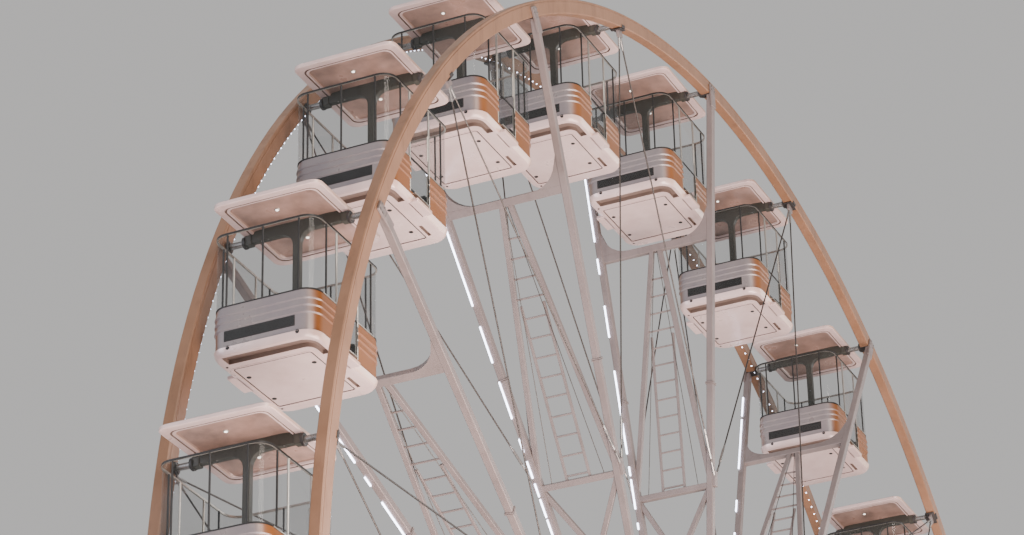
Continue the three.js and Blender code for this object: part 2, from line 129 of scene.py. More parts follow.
def linear(colour: str) -> tuple[float, float, float, float]:
    """Turn an sRGB hex colour into linear light.

    Args:
        colour: Six hex digits after a hash.

    Returns:
        Red, green, blue and a full alpha.
    """
    parts = [int(colour[i : i + 2], 16) / 255 for i in (1, 3, 5)]
    red, green, blue = (c / 12.92 if c <= 0.04045 else ((c + 0.055) / 1.055) ** 2.4 for c in parts)
    return red, green, blue, 1.0


def per_metre(size_mm: float) -> float:
    """Turn the real size of a pattern, in millimetres, into the scale of its texture."""
    return 1000 / size_mm


def add_node(tree: bpy.types.NodeTree, kind: str, inputs: dict | None = None,
             **settings: str) -> bpy.types.Node:
    """Add a shader node with its settings and its links.

    Args:
        tree: The node tree that gets the node.
        kind: The node's type name, after ShaderNode.
        inputs: Values or sockets for its inputs, by name or number.
        **settings: Properties of the node, by name.

    Returns:
        The new node.
    """
    node = tree.nodes.new(f"ShaderNode{kind}")
    for name, value in settings.items():
        setattr(node, name, value)
    for name, value in (inputs or {}).items():
        if isinstance(value, bpy.types.NodeSocket):
            tree.links.new(value, node.inputs[name])
        else:
            node.inputs[name].default_value = value
    return node


class Recipe:
    """What the finishes share: one shader over patterns that read Object coordinates."""

    def inputs(self, tree: bpy.types.NodeTree, coords: bpy.types.Node) -> dict:
        """Lay out the patterns.

        Args:
            tree: The material's node tree.
            coords: Its Texture Coordinate node.

        Returns:
            The shader's inputs.
        """
        raise NotImplementedError

    def make(self, name: str) -> bpy.types.Material:
        """Build the material.

        Args:
            name: The material's name.

        Returns:
            The material.
        """
        material = bpy.data.materials.new(name)
        material.use_nodes = True
        tree = material.node_tree
        tree.nodes.clear()
        coords = add_node(tree, "TexCoord")
        shader = add_node(tree, "BsdfPrincipled", self.inputs(tree, coords))
        add_node(tree, "OutputMaterial", {"Surface": shader.outputs[0]})
        return material


@dataclass(frozen=True)
class Enamel(Recipe):
    """Sprayed enamel on steel: an even satin film with faint cloudiness, rain streaks and orange peel."""

    colour: str
    dull: str
    grime: str
    roughness: float = 0.42
    cloud_mm: float = 900.0
    streak_mm: float = 260.0
    peel_mm: float = 70.0

    def inputs(self, tree: bpy.types.NodeTree, coords: bpy.types.Node) -> dict:
        """Lay out the patterns.

        Args:
            tree: The material's node tree.
            coords: Its Texture Coordinate node.

        Returns:
            The shader's inputs.
        """
        place = coords.outputs["Object"]
        clouds = add_node(tree, "TexNoise", {
            "Vector": place, "Scale": per_metre(self.cloud_mm), "Detail": 5.0, "Roughness": 0.6})
        spread = add_node(tree, "MapRange", {
            "Value": clouds.outputs[0], "From Min": 0.38, "From Max": 0.66, "To Max": 0.75})
        # Rain draws the streaks out downwards, to about five times their width
        long = add_node(tree, "Mapping", {"Vector": place, "Scale": (1.0, 1.0, 0.22)})
        streaks = add_node(tree, "TexNoise", {
            "Vector": long.outputs[0], "Scale": per_metre(self.streak_mm), "Detail": 7.0, "Roughness": 0.68})
        stain = add_node(tree, "MapRange", {
            "Value": streaks.outputs[0], "From Min": 0.52, "From Max": 0.78, "To Max": 0.55})
        body = add_node(tree, "Mix", {
            0: spread.outputs[0], 6: linear(self.colour), 7: linear(self.dull)}, data_type="RGBA")
        worn = add_node(tree, "Mix", {
            0: stain.outputs[0], 6: body.outputs[2], 7: linear(self.grime)}, data_type="RGBA")
        # Orange peel is about 2 mm across, drawn as ripples of a hand's width so that it shows
        peel = add_node(tree, "TexNoise", {
            "Vector": place, "Scale": per_metre(self.peel_mm), "Detail": 2.0})
        bump = add_node(tree, "Bump", {
            "Height": peel.outputs[0], "Strength": 0.25, "Distance": 0.002})
        gloss = add_node(tree, "MapRange", {
            "Value": streaks.outputs[0], "From Min": 0.3, "From Max": 0.75,
            "To Min": self.roughness - 0.08, "To Max": self.roughness + 0.16})
        return {"Base Color": worn.outputs[2], "Roughness": gloss.outputs[0], "Metallic": 0.15,
                "Normal": bump.outputs[0], "Coat Weight": 0.15, "Coat Roughness": 0.25}


@dataclass(frozen=True)
class Gelcoat(Recipe):
    """Glossy gelcoat over moulded glass fibre, with painted warm light on the walls towards the ends of the
    cabin.
    """

    colour: str
    cloud: str
    painted_end_light: str
    roughness: float = 0.3
    cloud_mm: float = 420.0
    fibre_mm: float = 12.0

    def inputs(self, tree: bpy.types.NodeTree, coords: bpy.types.Node) -> dict:
        """Lay out the patterns.

        Args:
            tree: The material's node tree.
            coords: Its Texture Coordinate node.

        Returns:
            The shader's inputs.
        """
        place = coords.outputs["Object"]
        clouds = add_node(tree, "TexNoise", {
            "Vector": place, "Scale": per_metre(self.cloud_mm), "Detail": 4.0, "Roughness": 0.55})
        spread = add_node(tree, "MapRange", {
            "Value": clouds.outputs[0], "From Min": 0.36, "From Max": 0.68})
        body = add_node(tree, "Mix", {
            0: spread.outputs[0], 6: linear(self.colour), 7: linear(self.cloud)}, data_type="RGBA")
        # Painted warm light lies on the walls that face along the axle, as a second colour that fades round
        # the corners
        facing = add_node(tree, "SeparateXYZ", {"Vector": coords.outputs["Normal"]})
        across = add_node(tree, "Math", {0: facing.outputs["Y"]}, operation="ABSOLUTE")
        turn = add_node(tree, "MapRange", {
            "Value": across.outputs[0], "From Min": 0.3, "From Max": 0.95}, interpolation_type="SMOOTHSTEP")
        end_light_colour = add_node(tree, "Mix", {
            0: turn.outputs[0], 6: body.outputs[2], 7: linear(self.painted_end_light)}, data_type="RGBA")
        # The laminate's fibres print through faintly
        print_through = add_node(tree, "TexNoise", {
            "Vector": place, "Scale": per_metre(self.fibre_mm), "Detail": 1.0})
        bump = add_node(tree, "Bump", {
            "Height": print_through.outputs[0], "Strength": 0.05, "Distance": 0.002})
        gloss = add_node(tree, "MapRange", {
            "Value": clouds.outputs[0], "From Min": 0.3, "From Max": 0.7,
            "To Min": self.roughness - 0.05, "To Max": self.roughness + 0.12})
        return {"Base Color": end_light_colour.outputs[2], "Roughness": gloss.outputs[0], "Metallic": 0.1,
                "Normal": bump.outputs[0], "Coat Weight": 0.3, "Coat Roughness": 0.15}


@dataclass(frozen=True)
class Steel(Recipe):
    """Bare, zinc-coated or turned metal: spangle or tool marks break up its sheen."""

    colour: str
    spangle: str
    roughness: float = 0.38
    grain_mm: float = 30.0
    metallic: float = 0.85

    def inputs(self, tree: bpy.types.NodeTree, coords: bpy.types.Node) -> dict:
        """Lay out the patterns.

        Args:
            tree: The material's node tree.
            coords: Its Texture Coordinate node.

        Returns:
            The shader's inputs.
        """
        grain = add_node(tree, "TexVoronoi", {
            "Vector": coords.outputs["Object"], "Scale": per_metre(self.grain_mm)})
        tone = add_node(tree, "SeparateColor", {"Color": grain.outputs["Color"]})
        body = add_node(tree, "Mix", {
            0: tone.outputs[0], 6: linear(self.colour), 7: linear(self.spangle)}, data_type="RGBA")
        gloss = add_node(tree, "MapRange", {
            "Value": tone.outputs[1], "To Min": self.roughness - 0.06, "To Max": self.roughness + 0.1})
        return {"Base Color": body.outputs[2], "Roughness": gloss.outputs[0], "Metallic": self.metallic}


@dataclass(frozen=True)
class SmokedGlass(Recipe):
    """Toughened glass with a light smoked tint and a clean gloss: see-through, with faint rain marks."""

    tint: str
    cover: float = 0.12
    mark_mm: float = 1000 / 3

    def inputs(self, tree: bpy.types.NodeTree, coords: bpy.types.Node) -> dict:
        """Lay out the patterns.

        Args:
            tree: The material's node tree.
            coords: Its Texture Coordinate node.

        Returns:
            The shader's inputs.
        """
        film = add_node(tree, "TexNoise", {
            "Vector": coords.outputs["Object"], "Scale": per_metre(self.mark_mm), "Detail": 5.0})
        haze = add_node(tree, "MapRange", {
            "Value": film.outputs[0], "From Min": 0.35, "From Max": 0.75, "To Min": 0.03, "To Max": 0.13})
        return {"Base Color": linear(self.tint), "Roughness": haze.outputs[0], "Alpha": self.cover,
                "IOR": 1.52, "Coat Weight": 0.5, "Coat Roughness": 0.03}


@dataclass(frozen=True)
class Plate(Recipe):
    """Rolled aluminium tread plate: raised bars in two directions, dull and scuffed between them."""

    colour: str
    scuff: str
    bar_mm: float = 60.0
    scuff_mm: float = 1000 / 1.4

    def inputs(self, tree: bpy.types.NodeTree, coords: bpy.types.Node) -> dict:
        """Lay out the patterns.

        Args:
            tree: The material's node tree.
            coords: Its Texture Coordinate node.

        Returns:
            The shader's inputs.
        """
        place = coords.outputs["Object"]
        # Tread bars are 25 mm long in life and are drawn 60 mm apart so that they show
        bars = add_node(tree, "TexVoronoi", {
            "Vector": place, "Scale": per_metre(self.bar_mm), "Randomness": 0.0},
            feature="F1", distance="CHEBYCHEV")
        rise = add_node(tree, "MapRange", {
            "Value": bars.outputs["Distance"], "From Min": 0.14, "From Max": 0.24, "To Min": 1.0,
            "To Max": 0.0})
        wear = add_node(tree, "TexNoise", {
            "Vector": place, "Scale": per_metre(self.scuff_mm), "Detail": 6.0})
        shade = add_node(tree, "MapRange", {
            "Value": wear.outputs[0], "From Min": 0.38, "From Max": 0.66})
        body = add_node(tree, "Mix", {
            0: shade.outputs[0], 6: linear(self.colour), 7: linear(self.scuff)}, data_type="RGBA")
        bump = add_node(tree, "Bump", {
            "Height": rise.outputs[0], "Strength": 0.6, "Distance": 0.004})
        gloss = add_node(tree, "MapRange", {
            "Value": wear.outputs[0], "From Min": 0.3, "From Max": 0.7, "To Min": 0.36, "To Max": 0.6})
        return {"Base Color": body.outputs[2], "Roughness": gloss.outputs[0], "Metallic": 0.7,
                "Normal": bump.outputs[0]}


@dataclass(frozen=True)
class Glow(Recipe):
    """A lit lens: a milky cover, brighter over each lamp behind it."""

    colour: str
    strength: float
    pitch_mm: float = 70.0
    cover: str = "#e8ecf4"

    def inputs(self, tree: bpy.types.NodeTree, coords: bpy.types.Node) -> dict:
        """Lay out the patterns.

        Args:
            tree: The material's node tree.
            coords: Its Texture Coordinate node.

        Returns:
            The shader's inputs.
        """
        dots = add_node(tree, "TexNoise", {
            "Vector": coords.outputs["Object"], "Scale": per_metre(self.pitch_mm)})
        power = add_node(tree, "MapRange", {
            "Value": dots.outputs[0], "From Min": 0.3, "From Max": 0.7,
            "To Min": self.strength * 0.8, "To Max": self.strength * 1.2})
        return {"Base Color": linear(self.cover), "Roughness": 0.25,
                "Emission Color": linear(self.colour), "Emission Strength": power.outputs[0]}


@dataclass(frozen=True)
class Screed(Recipe):
    """Smooth matt screed for the studio's floor, with broad faint clouds."""

    colour: str
    cloud: str
    cloud_mm: float = 1000 / 0.6

    def inputs(self, tree: bpy.types.NodeTree, coords: bpy.types.Node) -> dict:
        """Lay out the patterns.

        Args:
            tree: The material's node tree.
            coords: Its Texture Coordinate node.

        Returns:
            The shader's inputs.
        """
        grain = add_node(tree, "TexNoise", {
            "Vector": coords.outputs["Object"], "Scale": per_metre(self.cloud_mm), "Detail": 4.0})
        tone = add_node(tree, "Mix", {
            0: grain.outputs[0], 6: linear(self.colour), 7: linear(self.cloud)}, data_type="RGBA")
        return {"Base Color": tone.outputs[2], "Roughness": 0.8}


FINISHES: dict[Finish, Recipe] = {
    Finish.RIM: Enamel("#8a664e", "#7a5840", "#4f3a2c", 0.4),
    Finish.FRAME: Enamel("#7b706e", "#6d6260", "#4d4442", 0.42),
    Finish.HUB: Enamel("#6f6664", "#625957", "#413a38", 0.42),
    Finish.TOWER: Enamel("#7b706e", "#6f6563", "#4d4442", 0.45),
    Finish.BASE: Enamel("#5b5654", "#4e4a48", "#35312f", 0.5),
    Finish.CLAMP: Enamel("#2f2b2a", "#262322", "#191716", 0.5),
    Finish.HANGER: Enamel("#3d3c35", "#33332d", "#22221e", 0.45, cloud_mm=300.0, streak_mm=120.0),
    Finish.ROPE: Steel("#55504d", "#403c3a", 0.42, grain_mm=14.0),
    Finish.MACHINED: Steel("#9b9997", "#84817f", 0.3, grain_mm=6.0),
    Finish.RAIL: Steel("#a19d99", "#86827f", 0.45, grain_mm=25.0),
    Finish.JAMB: Steel("#b9b5ae", "#a5a19a", 0.35, grain_mm=8.0),
    # The gelcoats' third colour is painted warm light on the walls that face along the axle; on the shell it
    # is bronze.
    Finish.SHELL: Gelcoat("#7f7878", "#736c70", "#7d4b20"),
    Finish.UNDERSIDE: Gelcoat("#c9b3b0", "#bda5a2", "#c4a79b"),
    # The channel finish is the underside's colour darkened: painted shade for the recesses that it lines.
    Finish.CHANNEL: Gelcoat("#75645c", "#66564f", "#75645c", 0.45),
    # The lining's strong clouds are partly painted highlight: the lighter pink patches stand for light
    # falling on it.
    Finish.LINING: Gelcoat("#a48579", "#7a655c", "#9a7e72", 0.3),
    Finish.BENCH: Gelcoat("#4a4644", "#3e3a39", "#4a4644", 0.5),
    Finish.TRIM: Enamel("#191817", "#141312", "#0d0c0c", 0.6),
    Finish.GLASS: SmokedGlass("#2a3132"),
    Finish.LAMP: Glow("#fff2e2", 3.0),
    Finish.STRIP: Glow("#dfe6ff", 9.0),
    Finish.DECK: Plate("#7c7875", "#66625f"),
    Finish.FLOOR: Screed("#d9d7d5", "#d2d0ce"),
}
MATERIALS: dict[Finish, bpy.types.Material] = {}


@dataclass(frozen=True)
class Level:
    """One ring of a form that is drawn up: its half sizes, its height and the finish of the wall below it."""

    half_x: float
    half_y: float
    z: float
    finish: Finish


def around(bays: float) -> Matrix:
    """Give the frame of one bearing of the wheel.

    Args:
        bays: Its distance round the wheel from the first spoke frame, in bays.

    Returns:
        A matrix from (outwards, along the axle, round the wheel) to the scene.
    """
    return Matrix.Translation((0, 0, HUB_HEIGHT)) @ Matrix.Rotation(-(PHASE + bays * BAY), 4, "Y")


class Form:
    """A mesh in the making, in metres, shaped with bmesh operators."""

    def __init__(self) -> None:
        """Start empty."""
        self.bm = bmesh.new()

    def _dress(self, verts: Iterable[bmesh.types.BMVert], finish: Finish) -> list[bmesh.types.BMFace]:
        """Give the faces of some vertices a finish.

        Args:
            verts: The vertices.
            finish: The finish.

        Returns:
            The faces.
        """
        faces = list({f for v in verts for f in v.link_faces})
        for face in faces:
            face.material_index = ORDER.index(finish)
        return faces

    def _soften(self, verts: Sequence[bmesh.types.BMVert], size: float) -> None:
        """Bevel all the edges of a closed part.

        Args:
            verts: The part's vertices.
            size: Width of the bevel.
        """
        if size:
            edges = list({e for v in verts for e in v.link_edges})
            bmesh.ops.bevel(self.bm, geom=edges, offset=size, offset_type="OFFSET", affect="EDGES",
                            segments=1, profile=0.5, material=-1, clamp_overlap=True)

    def _round_off(self, corners: Sequence[bmesh.types.BMVert], radius: float, steps: int) -> None:
        """Round corners of a flat face.

        Args:
            corners: Its corners.
            radius: Their radius.
            steps: Steps to each corner.
        """
        bmesh.ops.bevel(self.bm, geom=list(corners), offset=radius, offset_type="OFFSET", affect="VERTICES",
                        segments=steps, profile=0.5, material=-1)

    def _still(self, face: bmesh.types.BMFace) -> bmesh.types.BMFace:
        """Find a lone face again after its corners were rounded.

        Args:
            face: The face as it was.

        Returns:
            The face, or the one that took its place.
        """
        self.bm.faces.ensure_lookup_table()
        return face if face.is_valid else self.bm.faces[-1]

    def _block(self, size: Sequence[float], place: Matrix, finish: Finish, soft: float) -> None:
        """Add a block.

        Args:
            size: The lengths of its sides.
            place: Where its middle goes, and its turn.
            finish: Its finish.
            soft: Width of the bevel on its edges.
        """
        verts = bmesh.ops.create_cube(self.bm, size=1.0)["verts"]
        bmesh.ops.scale(self.bm, vec=size, verts=verts)
        bmesh.ops.transform(self.bm, matrix=place, verts=verts)
        self._dress(verts, finish)
        self._soften(verts, soft)

    def box(self, low: Sequence[float], high: Sequence[float], finish: Finish, soft: float = 0.0,
            place: Matrix | None = None) -> None:
        """Add a box between two corners, given in any order.

        Args:
            low: One corner.
            high: The other corner.
            finish: Its finish.
            soft: Width of the bevel on its edges.
            place: Where it goes.
        """
        a, b = Vector(low), Vector(high)
        size = Vector(abs(b[i] - a[i]) for i in range(3))
        self._block(size, (place or Matrix()) @ Matrix.Translation((a + b) / 2), finish, soft)

    def bar(self, start: Sequence[float], end: Sequence[float], width: float, depth: float, finish: Finish,
            soft: float = 0.0, across: Sequence[float] = (0, 1, 0)) -> None:
        """Add a square bar between two points.

        Args:
            start: First point.
            end: Second point.
            width: Its size along the direction across.
            depth: Its other size.
            finish: Its finish.
            soft: Width of the bevel on its edges.
            across: The direction that its width follows.
        """
        a, b = Vector(start), Vector(end)
        along = (b - a).normalized()
        side = Vector(across) - along * Vector(across).dot(along)
        side.normalize()
        turn = Matrix((side, along.cross(side), along)).transposed().to_4x4()
        size = (width, depth, (b - a).length)
        self._block(size, Matrix.Translation((a + b) / 2) @ turn, finish, soft)

    def rod(self, start: Sequence[float], end: Sequence[float], radius: float, sides: int, finish: Finish,
            end_radius: float | None = None, soft: float = 0.0, place: Matrix | None = None) -> None:
        """Add a round bar or a cone between two points.

        Args:
            start: First point.
            end: Second point.
            radius: Radius at the start.
            sides: Number of sides.
            finish: Its finish.
            end_radius: Radius at the end, if it differs.
            soft: Width of the bevel on its end edges.
            place: Where it goes.
        """
        a, b = Vector(start), Vector(end)
        if place:
            a, b = place @ a, place @ b
        verts = bmesh.ops.create_cone(
            self.bm, cap_ends=True, segments=sides, radius1=radius,
            radius2=radius if end_radius is None else end_radius, depth=(b - a).length)["verts"]
        turn = (b - a).to_track_quat("Z", "Y").to_matrix().to_4x4()
        bmesh.ops.transform(self.bm, matrix=Matrix.Translation((a + b) / 2) @ turn, verts=verts)
        faces = self._dress(verts, finish)
        if soft:
            edges = list({e for f in faces if len(f.verts) == sides for e in f.edges})
            bmesh.ops.bevel(self.bm, geom=edges, offset=soft, affect="EDGES", segments=1, profile=0.5,
                            material=-1)

    def bolts(self, centres: Iterable[Sequence[float]], axis: Sequence[float], radius: float, height: float,
              place: Matrix | None = None) -> None:
        """Add hexagon heads standing on a face.

        Args:
            centres: Where they stand.
            axis: The way that they point.
            radius: Half their width.
            height: How far they stand out.
            place: Where they all go.
        """
        rise = Vector(axis).normalized() * height
        for centre in centres:
            self.rod(centre, Vector(centre) + rise, radius, 6, Finish.MACHINED, place=place)

    def drawn_up(self, levels: Sequence[Level], corner: float, steps: int) -> None:
        """Add a closed form that is drawn up ring by ring from a rounded rectangle.

        Args:
            levels: The rings; the first and the last are closed.
            corner: Radius of the corners at the first ring.
            steps: Steps to each corner.
        """
        first = last = levels[0]
        verts = bmesh.ops.create_grid(self.bm, x_segments=1, y_segments=1, size=1.0)["verts"]
        bmesh.ops.scale(self.bm, vec=(first.half_x, first.half_y, 1), verts=verts)
        bmesh.ops.translate(self.bm, vec=(0, 0, first.z), verts=verts)
        face = verts[0].link_faces[0]
        self._round_off(face.verts, corner, steps)
        face = self._still(face)
        face.material_index = ORDER.index(first.finish)
        for level in levels[1:]:
            grown = bmesh.ops.extrude_face_region(self.bm, geom=[face])["geom"]
            if last is not first:
                bmesh.ops.delete(self.bm, geom=[face], context="FACES_ONLY")
            verts = [g for g in grown if isinstance(g, bmesh.types.BMVert)]
            face = next(g for g in grown if isinstance(g, bmesh.types.BMFace))
            bmesh.ops.scale(self.bm, verts=verts,
                            vec=(level.half_x / last.half_x, level.half_y / last.half_y, 1))
            bmesh.ops.translate(self.bm, vec=(0, 0, level.z - last.z), verts=verts)
            self._dress(verts, level.finish)
            last = level

    def ring(self, outline: Sequence[tuple[float, float]], steps: int, finish: Finish) -> None:
        """Turn a closed outline about the axle as the first part of a form, at the hub's height.

        Args:
            outline: Corners as (radius, Y).
            steps: Steps round the circle.
            finish: Its finish.
        """
        verts = [self.bm.verts.new((r, y, 0)) for r, y in outline]
        edges = [self.bm.edges.new((verts[i - 1], verts[i])) for i in range(len(verts))]
        bmesh.ops.spin(self.bm, geom=[*verts, *edges], cent=(0, 0, 0), axis=(0, 1, 0), dvec=(0, 0, 0),
                       angle=2 * math.pi, steps=steps, use_merge=True, use_duplicate=False)
        bmesh.ops.translate(self.bm, vec=(0, 0, HUB_HEIGHT), verts=self.bm.verts)
        self._dress(self.bm.verts, finish)

    def plate(self, points: Sequence[tuple[float, float]], thickness: float, finish: Finish,
              rounded: dict[int, float] | None = None, soft: float = 0.0, steps: int = 6,
              place: Matrix | None = None) -> None:
        """Add a flat plate from an outline in X and Y, middle plane at height 0.

        Args:
            points: The outline's corners.
            thickness: Its thickness.
            finish: Its finish.
            rounded: Radii of the corners to round, by their number.
            soft: Width of the bevel on its edges.
            steps: Steps to each rounded corner.
            place: Where it goes.
        """
        before = set(self.bm.verts)
        verts = [self.bm.verts.new((x, y, -thickness / 2)) for x, y in points]
        face = self.bm.faces.new(verts)
        for number, radius in (rounded or {}).items():
            self._round_off([verts[number]], radius, steps)
        grown = bmesh.ops.extrude_face_region(self.bm, geom=[self._still(face)])["geom"]
        top = [g for g in grown if isinstance(g, bmesh.types.BMVert)]
        bmesh.ops.translate(self.bm, vec=(0, 0, thickness), verts=top)
        fresh = [v for v in self.bm.verts if v not in before]
        self._dress(fresh, finish)
        self._soften(fresh, soft)
        if place:
            fresh = [v for v in self.bm.verts if v not in before]
            bmesh.ops.transform(self.bm, matrix=place, verts=fresh)

    def band(self, half_x: float, half_y: float, span: tuple[float, float], thickness: float,
             corner: float, outside: Finish, inside: Finish,
             middle: tuple[float, float] = (0.0, 0.0)) -> None:
        """Add an upright band that runs round a rounded rectangle.

        Args:
            half_x: Half its outer size in X.
            half_y: Half its outer size in Y.
            span: Heights of its lower and upper edge.
            thickness: Its thickness, measured inwards.
            corner: Radius of its corners.
            outside: Finish of its outer face and upper edge.
            inside: Finish of its inner face and lower edge.
            middle: Where its middle is, in X and Y.
        """
        part = Form()
        part.drawn_up([Level(half_x, half_y, z, outside) for z in span], corner, 7)
        bmesh.ops.recalc_face_normals(part.bm, faces=part.bm.faces)
        caps = [f for f in part.bm.faces if abs(f.normal.z) > 0.9]
        bmesh.ops.delete(part.bm, geom=caps, context="FACES_ONLY")
        bmesh.ops.solidify(part.bm, geom=part.bm.faces[:], thickness=thickness)
        bmesh.ops.recalc_face_normals(part.bm, faces=part.bm.faces)
        for face in part.bm.faces:
            centre = face.calc_center_median()
            inward = face.normal.x * centre.x / half_x + face.normal.y * centre.y / half_y < -0.05
            face.material_index = ORDER.index(inside if inward or face.normal.z < -0.5 else outside)
        bmesh.ops.translate(part.bm, vec=(*middle, 0), verts=part.bm.verts)
        scratch = bpy.data.meshes.new("scratch")
        part.bm.to_mesh(scratch)
        part.bm.free()
        self.bm.from_mesh(scratch)
        bpy.data.meshes.remove(scratch)

    def mesh(self, name: str) -> bpy.types.Mesh:
        """Close the form into a mesh that carries only the finishes it uses.

        Args:
            name: The mesh's name.

        Returns:
            The mesh.
        """
        bmesh.ops.recalc_face_normals(self.bm, faces=self.bm.faces)
        used = sorted({f.material_index for f in self.bm.faces})
        for face in self.bm.faces:
            face.material_index = used.index(face.material_index)
        mesh = bpy.data.meshes.new(name)
        self.bm.to_mesh(mesh)
        self.bm.free()
        for number in used:
            mesh.materials.append(MATERIALS[ORDER[number]])
        mesh.shade_smooth()
        mesh.set_sharp_from_angle(angle=SHARP)
        return mesh


def carve(mesh: bpy.types.Mesh, tool: bpy.types.Mesh) -> bpy.types.Mesh:
    """Cut the solid of one mesh out of another.

    Args:
        mesh: The mesh that is cut.
        tool: The mesh that cuts.

    Returns:
        The cut mesh.
    """
    target = bpy.data.objects.new("carved", mesh)
    cutter = bpy.data.objects.new("cutter", tool)
    for item in (target, cutter):
        bpy.context.scene.collection.objects.link(item)
    cut = target.modifiers.new("cut", "BOOLEAN")
    cut.operation, cut.solver, cut.object, cut.material_mode = "DIFFERENCE", "EXACT", cutter, "TRANSFER"
    bpy.context.view_layer.update()
    done = bpy.data.meshes.new_from_object(target.evaluated_get(bpy.context.evaluated_depsgraph_get()))
    for item in (target, cutter):
        bpy.data.objects.remove(item)
    done.set_sharp_from_angle(angle=SHARP)
    return done


def show(mesh: bpy.types.Mesh, name: str, body: str, slot: str, *nodes: str) -> None:
    """Put a finished mesh in the scene and hide the CAD nodes that it stands for.

    Args:
        mesh: The mesh, in its place.
        name: The piece's name.
        body: The body that it rides on.
        slot: Not used.
        *nodes: The CAD nodes that it stands for.
    """
    piece = bpy.data.objects.new(name, mesh)
    bpy.context.scene.collection.objects.link(piece)
    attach(piece, body)
    if nodes:
        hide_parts(*nodes)
    log.info("%s: %d faces", name, len(mesh.polygons))


def moved(mesh: bpy.types.Mesh, place: Matrix, name: str) -> bpy.types.Mesh:
    """Copy a mesh to another place.

    Args:
        mesh: The mesh.
        place: Where the copy goes.
        name: The copy's name.

    Returns:
        The copy.
    """
    copy = mesh.copy()
    copy.name = name
    copy.transform(place)
    return copy


@dataclass
class Rim:
    """One rim: the bent box tube with its seam, its saddles and its bearings."""

    side: Side
    steps: int = 216
    edge: float = 0.014
    inset: float = 0.012
    seam_at: float = 0.07
    # The seam's groove: half its width at the mouth and on the floor, and its depth
    groove: tuple[float, float, float] = (0.008, 0.004, 0.007)
    saddle_half: float = 0.06
    saddle_depth: float = 0.05
    saddle_lap: float = 0.012
    bearing: float = 0.085
    bearing_depth: float = 0.028
    bolt_circle: float = 0.062
    light_pitch: float = 0.16
    light_inset: float = 0.022
    # A lamp's radii at the tube and at its tip, and how far it is sunk and stands out
    lens: tuple[float, float] = (0.013, 0.007)
    lens_reach: tuple[float, float] = (0.003, -0.014)

    def _tube(self, form: Form) -> None:
        """Bend the tube, with the groove of a welded seam along both of its side faces.

        Args:
            form: The empty form that takes it.
        """
        inner, outer = RIM_RADIUS - RIM_DEPTH / 2, RIM_RADIUS + RIM_DEPTH / 2 - self.inset
        middle, half, edge = self.side.value * RIM_OFFSET, RIM_WIDTH / 2, self.edge
        seam, (mouth, floor, depth) = RIM_RADIUS + self.seam_at, self.groove
        # Half of the section, as radius and distance from the tube's middle
        section = [(inner, half - edge), (inner + edge, half), (seam - mouth, half),
                   (seam - floor, half - depth), (seam + floor, half - depth), (seam + mouth, half),
                   (outer - edge, half), (outer, half - edge)]
        form.ring([(r, middle - y) for r, y in section] + [(r, middle + y) for r, y in reversed(section)],
                  self.steps, Finish.RIM)

    def _clamp(self, form: Form, place: Matrix) -> None:
        """Set a dark saddle under the tube at a cabin's bearing, and add the bearing itself.

        Args:
            form: The form that takes it.
            place: The bearing's frame.
        """
        sy, half = self.side.value, RIM_WIDTH / 2 + self.saddle_lap
        inner, middle = RIM_RADIUS - RIM_DEPTH / 2 - self.inset, sy * RIM_OFFSET
        form.box((inner, middle - half, -self.saddle_half),
                 (inner + self.saddle_depth, middle + half, self.saddle_half), Finish.CLAMP, 0.006, place)
        inward = middle - sy * half
        seat = inward - sy * self.bearing_depth
        form.rod((PIVOT_RADIUS, inward, 0), (PIVOT_RADIUS, seat, 0), self.bearing, 20, Finish.CLAMP,
                 soft=0.006, place=place)
        form.bolts([(PIVOT_RADIUS + self.bolt_circle * math.cos(a), seat, self.bolt_circle * math.sin(a))
                    for a in (math.pi / 4 + k * math.pi / 2 for k in range(4))],
                   (0, -sy, 0), 0.011, 0.009, place)

    def _lights(self) -> bpy.types.Mesh:
        """String small lamps along the inward edge of the tube.

        Returns:
            The mesh.
        """
        form = Form()
        radius = RIM_RADIUS - RIM_DEPTH / 2
        y = self.side.value * (RIM_OFFSET - RIM_WIDTH / 2 + self.light_inset)
        start, end = ((radius + reach, y, 0) for reach in self.lens_reach)
        count = int(2 * math.pi * radius / self.light_pitch)
        for k in range(count):
            form.rod(start, end, self.lens[0], 6, Finish.STRIP, end_radius=self.lens[1],
                     place=around((k + 0.5) * FRAMES / count))
        return form.mesh("lights")

    def build(self) -> None:
        """Build the rim, and on the far side its lamps."""
        name = f"rim_{self.side.name.lower()}"
        form = Form()
        self._tube(form)
        for n in range(CABINS):
            self._clamp(form, around(n * FRAMES / CABINS))
        show(form.mesh(name), f"{name}_tube", "wheel", "rim_paint", name)
        if self.side is Side.FAR:
            show(self._lights(), f"{name}_lights", "wheel", "cable_steel")


